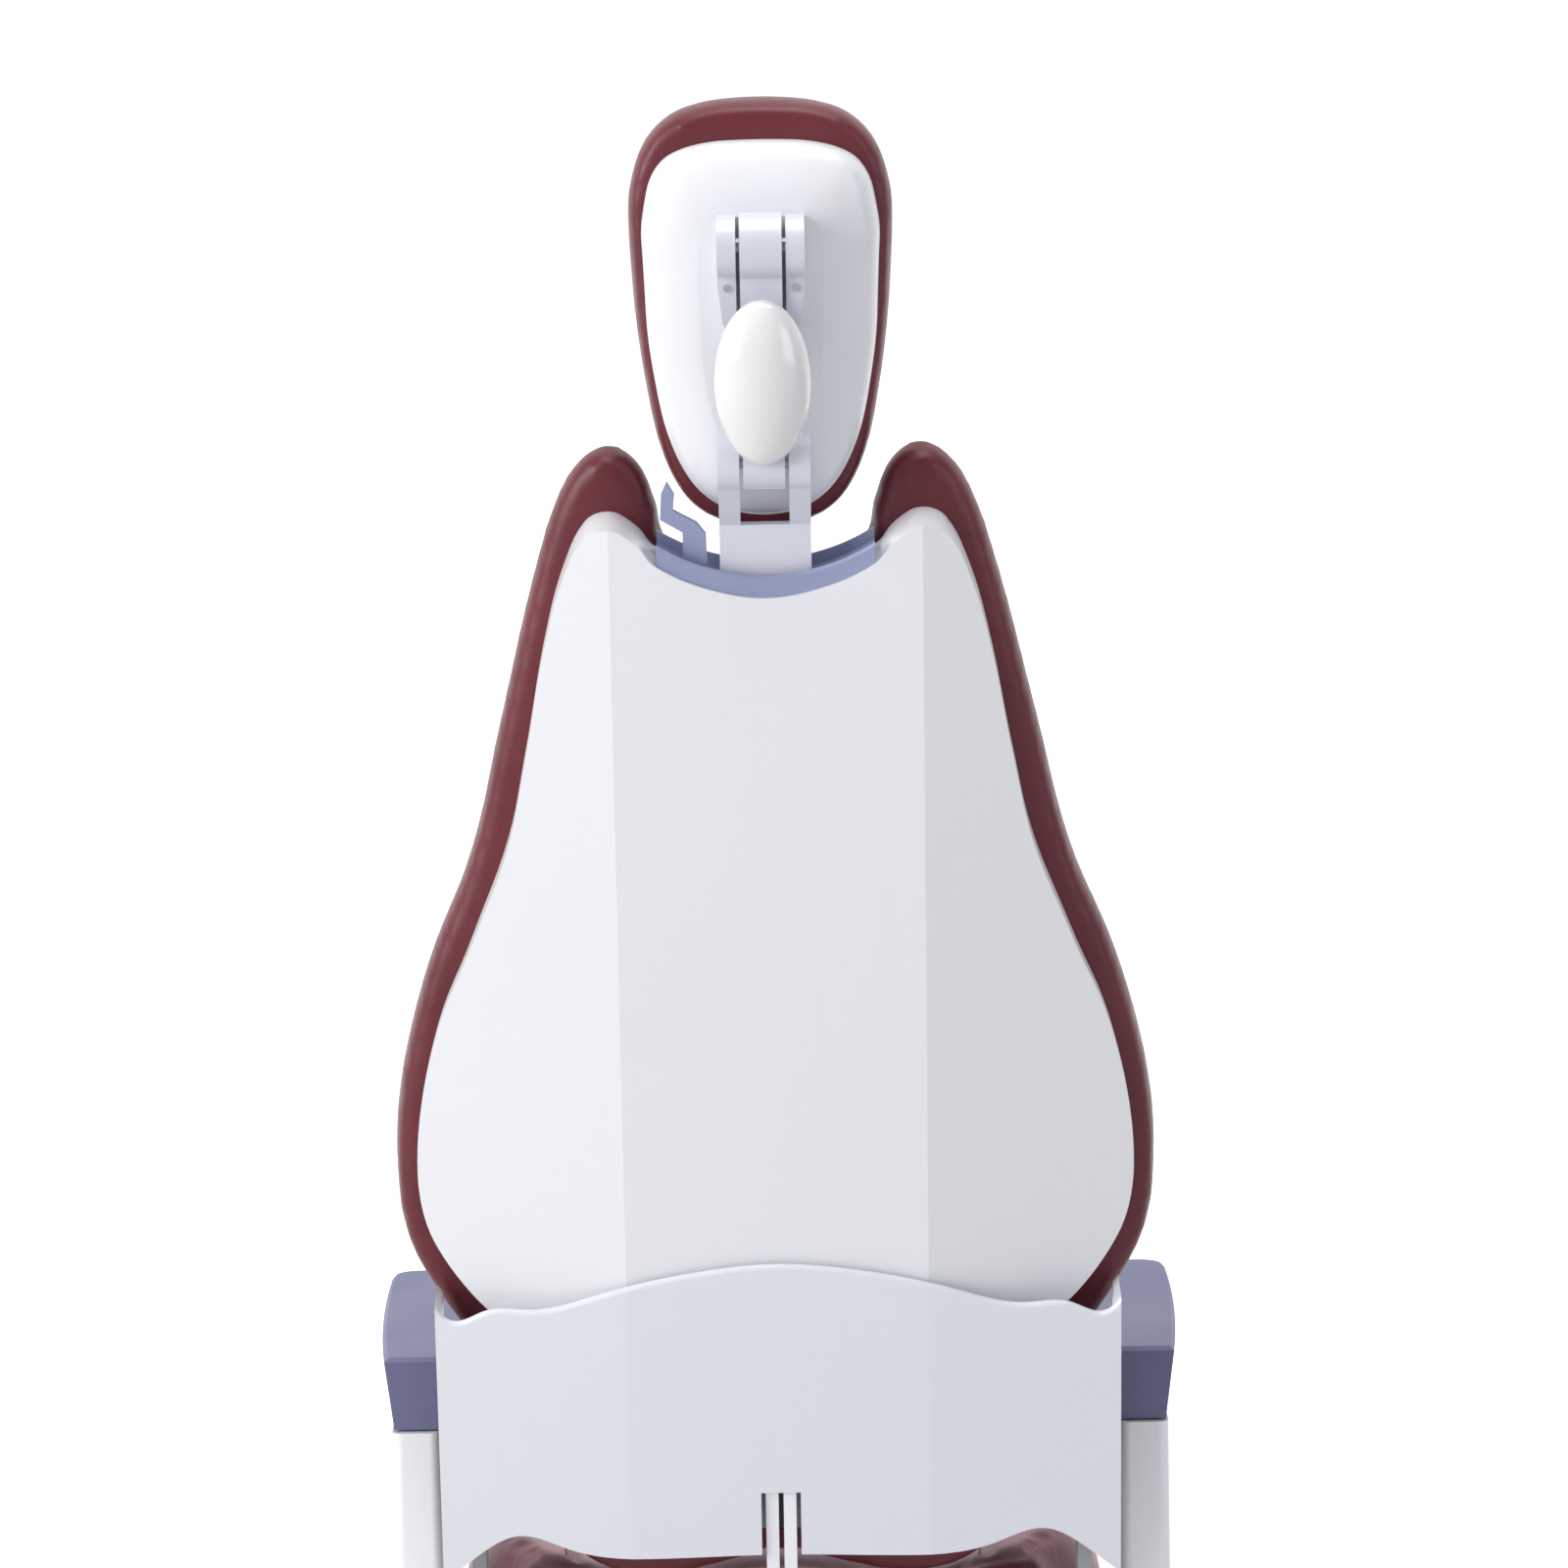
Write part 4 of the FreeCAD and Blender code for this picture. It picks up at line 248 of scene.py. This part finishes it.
BY_SLOT = {"upholstery": MAROON, "white_plastic": WHITE, "paddle_plastic": PEBBLE,
           "blue_grey_plastic": BLUE, "white_paint": PAINT, "grey_paint": GREY, "silver": SILVER,
           "steel": STEEL, "board": WOOD, "bronze": BRONZE}
# The hinge cover and the glide bar take darker copies of their white finishes, painted shade
BY_NODE = {"yoke_trim": TRIM, "bar_lock_lever": TRIM, "hinge_cover": SHADED_COVER, "glide_bar": SHADED_BAR}
for entry in frame["record"]["subparts"]:
    node = entry["node"]
    finish_with(nodes[node], BY_NODE.get(node, BY_SLOT[entry["material_slot"]]))

# Cushions: skin cells, how far the filling swells the cover, where the cover is fastened
CELL = 0.005
HEAD_CELL = 0.004
SWELL = 0.006
HEAD_SWELL = 0.004
BACK_FASTENED = -0.011
HEAD_FASTENED = -0.007
BOARD_FASTENED = 0.003
FIRST_FRAME = 1
LAST_FRAME = 20
PRESSURE = 4.0


def settle(obj):
    """Turns the modifiers into the object's own mesh."""
    deps = bpy.context.evaluated_depsgraph_get()
    mesh = bpy.data.meshes.new_from_object(obj.evaluated_get(deps))
    obj.modifiers.clear()
    obj.data = mesh


def solid_copy(node, name, cell):
    """Even quad skin of a cushion's solid."""
    obj = bpy.data.objects.new(name, nodes[node].data.copy())
    scene.collection.objects.link(obj)
    skin = obj.modifiers.new("skin", "REMESH")
    skin.mode = "VOXEL"
    skin.voxel_size = cell
    even = obj.modifiers.new("even", "SMOOTH")
    even.factor = 0.5
    even.iterations = 6
    settle(obj)
    return obj


def puff(obj, held, cap):
    """Blows the cover up like a filled cushion, outwards only; held(co) says what is fastened."""
    start = [(v.co.copy(), v.normal.copy()) for v in obj.data.vertices]
    group = obj.vertex_groups.new(name="held")
    group.add([v.index for v in obj.data.vertices if held(v.co)], 1.0, "REPLACE")
    cloth = obj.modifiers.new("cloth", "CLOTH")
    cloth.settings.quality = 5
    cloth.settings.mass = 0.3
    cloth.settings.tension_stiffness = 15
    cloth.settings.compression_stiffness = 15
    cloth.settings.bending_stiffness = 2
    cloth.settings.use_pressure = True
    cloth.settings.uniform_pressure_force = PRESSURE
    cloth.settings.vertex_group_mass = "held"
    cloth.settings.effector_weights.gravity = 0
    cloth.point_cache.frame_start = FIRST_FRAME
    cloth.point_cache.frame_end = LAST_FRAME
    for number in range(FIRST_FRAME, LAST_FRAME + 1):
        scene.frame_set(number)
    settle(obj)
    for vertex, (before, normal) in zip(obj.data.vertices, start):
        move = vertex.co - before
        move -= normal * min(move.dot(normal), 0.0)
        vertex.co = before + move * min(1.0, cap / max(move.length, 1e-9))
    scene.frame_set(FIRST_FRAME)


# Seams: a drawn-in line with a row of stitches beside it
PATH_STEP = 0.002
GROOVE_DEPTH = 0.0024
GROOVE_REACH = 0.0045
GROOVE_END = 3 * GROOVE_REACH
STITCH_STEP = 0.009
STITCH_LENGTH = 0.0055
STITCH_RADIUS = 0.0007
STITCH_RISE = 0.3 * STITCH_RADIUS
STITCH_ASIDE = 0.007
STITCH_SIDES = 5
STITCH_RINGS = ((-0.45, 0.55), (-0.2, 1.0), (0.2, 1.0), (0.45, 0.55))
AHEAD = 0.2
PROBE = 0.1


def smooth_run(points, closed):
    """Close points along a smooth curve through the given ones."""
    count = len(points)
    run = []
    for i in range(count if closed else count - 1):
        before, after = i - 1, (i + 2) % count
        if not closed:
            before, after = max(i - 1, 0), min(i + 2, count - 1)
        a, b, c, d = points[before], points[i], points[(i + 1) % count], points[after]
        pieces = max(1, round((c - b).length / PATH_STEP))
        for k in range(pieces):
            t = k / pieces
            run.append(0.5 * (2 * b + (c - a) * t + (2 * a - 5 * b + 4 * c - d) * t * t
                              + (3 * b - a - 3 * c + d) * t ** 3))
    return run


def skin_of(obj):
    return BVHTree.FromPolygons([v.co for v in obj.data.vertices],
                                [face.vertices for face in obj.data.polygons])


def smooth_faces(mesh):
    for face in mesh.polygons:
        face.use_smooth = True


def stitch(verts, faces, middle, along, out):
    """One thread stitch: a short bead with pointed ends, half sunk in the cover."""
    across = out.cross(along)
    first = len(verts)
    verts.append(middle - along * (STITCH_LENGTH / 2))
    for share, thick in STITCH_RINGS:
        for k in range(STITCH_SIDES):
            turn = 2 * math.pi * k / STITCH_SIDES
            rim = (across * math.cos(turn) + out * math.sin(turn)) * (STITCH_RADIUS * thick)
            verts.append(middle + along * (share * STITCH_LENGTH) + rim)
    verts.append(middle + along * (STITCH_LENGTH / 2))
    last = len(verts) - 1
    for k in range(STITCH_SIDES):
        n = (k + 1) % STITCH_SIDES
        faces.append((first, first + 1 + n, first + 1 + k))
        for ring in range(len(STITCH_RINGS) - 1):
            low = first + 1 + ring * STITCH_SIDES
            faces.append((low + k, low + n, low + STITCH_SIDES + n, low + STITCH_SIDES + k))
        top = last - STITCH_SIDES
        faces.append((top + k, top + n, last))


def groove(obj, path):
    """Draws the cover in along a path on it."""
    tree = KDTree(len(path))
    for i, p in enumerate(path):
        tree.insert(p, i)
    tree.balance()
    normals = [v.normal.copy() for v in obj.data.vertices]
    for vertex, normal in zip(obj.data.vertices, normals):
        away = tree.find(vertex.co)[2]
        if away < GROOVE_END:
            vertex.co -= normal * (GROOVE_DEPTH * math.exp(-(away / GROOVE_REACH) ** 2))
    obj.data.update()


def sew(obj, name, body, seams, look):
    """Sews seams into a cushion; each is (points ahead of it, closed), look points at it."""
    verts, faces = [], []
    every = round(STITCH_STEP / PATH_STEP)
    for points, closed in seams:
        skin = skin_of(obj)
        path = [skin.ray_cast(p, look)[0] for p in smooth_run(points, closed)]
        groove(obj, path)
        skin = skin_of(obj)
        for i in range(every, len(path) - every, every):
            along = (path[i + 1] - path[i - 1]).normalized()
            aside = along.cross(look).normalized() * STITCH_ASIDE
            spot, out = skin.ray_cast(path[i] + aside - look * PROBE, look)[:2]
            along = (along - out * along.dot(out)).normalized()
            stitch(verts, faces, spot + out * STITCH_RISE, along, out)
    mesh = bpy.data.meshes.new(name)
    mesh.from_pydata(verts, [], faces)
    smooth_faces(mesh)
    mesh.materials.append(THREAD)
    thread = bpy.data.objects.new(name, mesh)
    scene.collection.objects.link(thread)
    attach(thread, body)


def dress(obj, node, body, material, seams, look):
    """Finishes a cushion cover and puts it in place of its solid."""
    refine = obj.modifiers.new("refine", "SUBSURF")
    refine.levels = 1
    refine.render_levels = 1
    settle(obj)
    sew(obj, obj.name + "_stitching", body, seams, look)
    smooth_faces(obj.data)
    finish_with(obj, material)
    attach(obj, body)
    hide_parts(node)


def mirrored(half):
    """Closed loop from one half, given from one end of the middle line to the other."""
    return half + [(-x, y) for x, y in reversed(half[1:-1])]


def leg_point(x, along):
    """Point ahead of the leg cushion, given across and along the sloping leg board."""
    run = Vector((0, math.cos(LEG_SLOPE), -math.sin(LEG_SLOPE)))
    return Vector((x, SEAT_FRONT, SEAT_BASE)) + run * along - LEG_LOOK * AHEAD


# Sewn lines: across and up the back, across and along the seat and the leg board
BACK_PANEL = mirrored([(0, 0.735), (0.055, 0.728), (0.088, 0.695), (0.104, 0.630),
                       (0.126, 0.555), (0.158, 0.470), (0.174, 0.385), (0.165, 0.300),
                       (0.138, 0.222), (0.110, 0.168), (0.062, 0.142), (0, 0.138)])
HEAD_PANEL = mirrored([(0, 1.092), (0.032, 1.088), (0.050, 1.068), (0.054, 1.025),
                       (0.049, 0.950), (0.037, 0.892), (0.020, 0.872), (0, 0.868)])
SEAT_SEAM = [(0.150, -0.195), (0.156, -0.10), (0.166, 0.0), (0.172, 0.10), (0.170, 0.205)]
LEG_PANEL = mirrored([(0, 0.425), (0.070, 0.422), (0.108, 0.405), (0.122, 0.360),
                      (0.134, 0.260), (0.150, 0.130), (0.150, 0.090), (0.128, 0.068),
                      (0.060, 0.062), (0, 0.062)])
BACK_LOOK = back_point(0, -1, 0) - back_point(0, 0, 0)
SEAT_LOOK = Vector((0, 0, -1))
LEG_LOOK = Vector((0, -math.sin(LEG_SLOPE), -math.cos(LEG_SLOPE)))

back = solid_copy("back_cushion", "back_upholstery", CELL)
puff(back, lambda co: back_depth(co) < BACK_FASTENED, SWELL)
dress(back, "back_cushion", "back", MAROON,
      [([back_point(u, AHEAD, v) for u, v in BACK_PANEL], True)], BACK_LOOK)

head = solid_copy("head_cushion", "head_upholstery", HEAD_CELL)
puff(head, lambda co: back_depth(co) < HEAD_FASTENED, HEAD_SWELL)
dress(head, "head_cushion", "headrest", MAROON,
      [([back_point(u, AHEAD, v) for u, v in HEAD_PANEL], True)], BACK_LOOK)

seat = solid_copy("seat_cushion", "seat_upholstery", CELL)
puff(seat, lambda co: co.z < SEAT_BASE + BOARD_FASTENED, SWELL)
dress(seat, "seat_cushion", "seat", LIT_SEAT_MAROON,
      [([Vector((side * x, y, SEAT_BASE + AHEAD)) for x, y in SEAT_SEAM], False)
       for side in (-1, 1)], SEAT_LOOK)

leg = solid_copy("leg_cushion", "leg_upholstery", CELL)
puff(leg, lambda co: leg_height(co) < BOARD_FASTENED, SWELL)
dress(leg, "leg_cushion", "seat", LIT_SEAT_MAROON,
      [([leg_point(x, along) for x, along in LEG_PANEL], True)], LEG_LOOK)

# Floor: pale, glowing white beyond the chair's front
FLOOR_SIZE = 60
FLOOR_DROP = 0.0005
GLOW_START = 0.9
GLOW_FULL = 2.2
bpy.ops.mesh.primitive_plane_add(size=FLOOR_SIZE, location=(0, 0, -FLOOR_DROP))
floor = bpy.context.object
floor.name = "floor"
mat, tree, bsdf = new_material("pale_floor")
bsdf.inputs["Base Color"].default_value = (0.58, 0.58, 0.58, 1)
bsdf.inputs["Roughness"].default_value = 0.6
bsdf.inputs["Emission Color"].default_value = (1, 1, 1, 1)
glow = spread(tree, along_y(tree, "Object"), 0.0, 1.0, GLOW_START, GLOW_FULL)
tree.links.new(glow, bsdf.inputs["Emission Strength"])
floor.data.materials.append(mat)

# Studio: bright ahead of the chair, dimmer behind it
world = bpy.data.worlds.new("studio")
scene.world = world
world.use_nodes = True
tree = world.node_tree
sky = tree.nodes["Background"]
sky.inputs["Color"].default_value = (0.98, 0.985, 1.0, 1)
tree.links.new(spread(tree, along_y(tree, "Generated"), 0.34, 1.05, -0.1, 0.6), sky.inputs["Strength"])


def softbox(name, spot, aim, size, power, colour=(1, 1, 1)):
    lamp = bpy.data.lights.new(name, "AREA")
    lamp.shape = "RECTANGLE"
    lamp.size, lamp.size_y = size
    lamp.energy = power
    lamp.color = colour
    obj = bpy.data.objects.new(name, lamp)
    obj.location = spot
    obj.rotation_euler = (Vector(aim) - Vector(spot)).to_track_quat("-Z", "Y").to_euler()
    scene.collection.objects.link(obj)


softbox("key", (-4.2, -3.0, 2.4), (0, -0.4, 0.95), (3.4, 3.2), 218)
softbox("top", (0.2, -0.9, 4.2), (0, -0.4, 0.9), (2.4, 2.0), 55)
softbox("fill", (3.6, -3.4, 1.6), (0, -0.4, 0.9), (2.0, 2.4), 38, (0.86, 0.88, 1.0))

# Camera: the photograph's view
CAMERA_PLACE = (0.010, -4.727, 1.537)
CAMERA_DOWN = 6.78
CAMERA_ROLL = -0.9
camera = bpy.data.cameras.new("camera")
camera.sensor_width = 36.0
camera.lens = 146.25
view = bpy.data.objects.new("camera", camera)
scene.collection.objects.link(view)
view.location = CAMERA_PLACE
pitch = Matrix.Rotation(math.radians(90.0 - CAMERA_DOWN), 3, "X")
view.rotation_euler = (pitch @ Matrix.Rotation(math.radians(CAMERA_ROLL), 3, "Z")).to_euler()
scene.camera = view
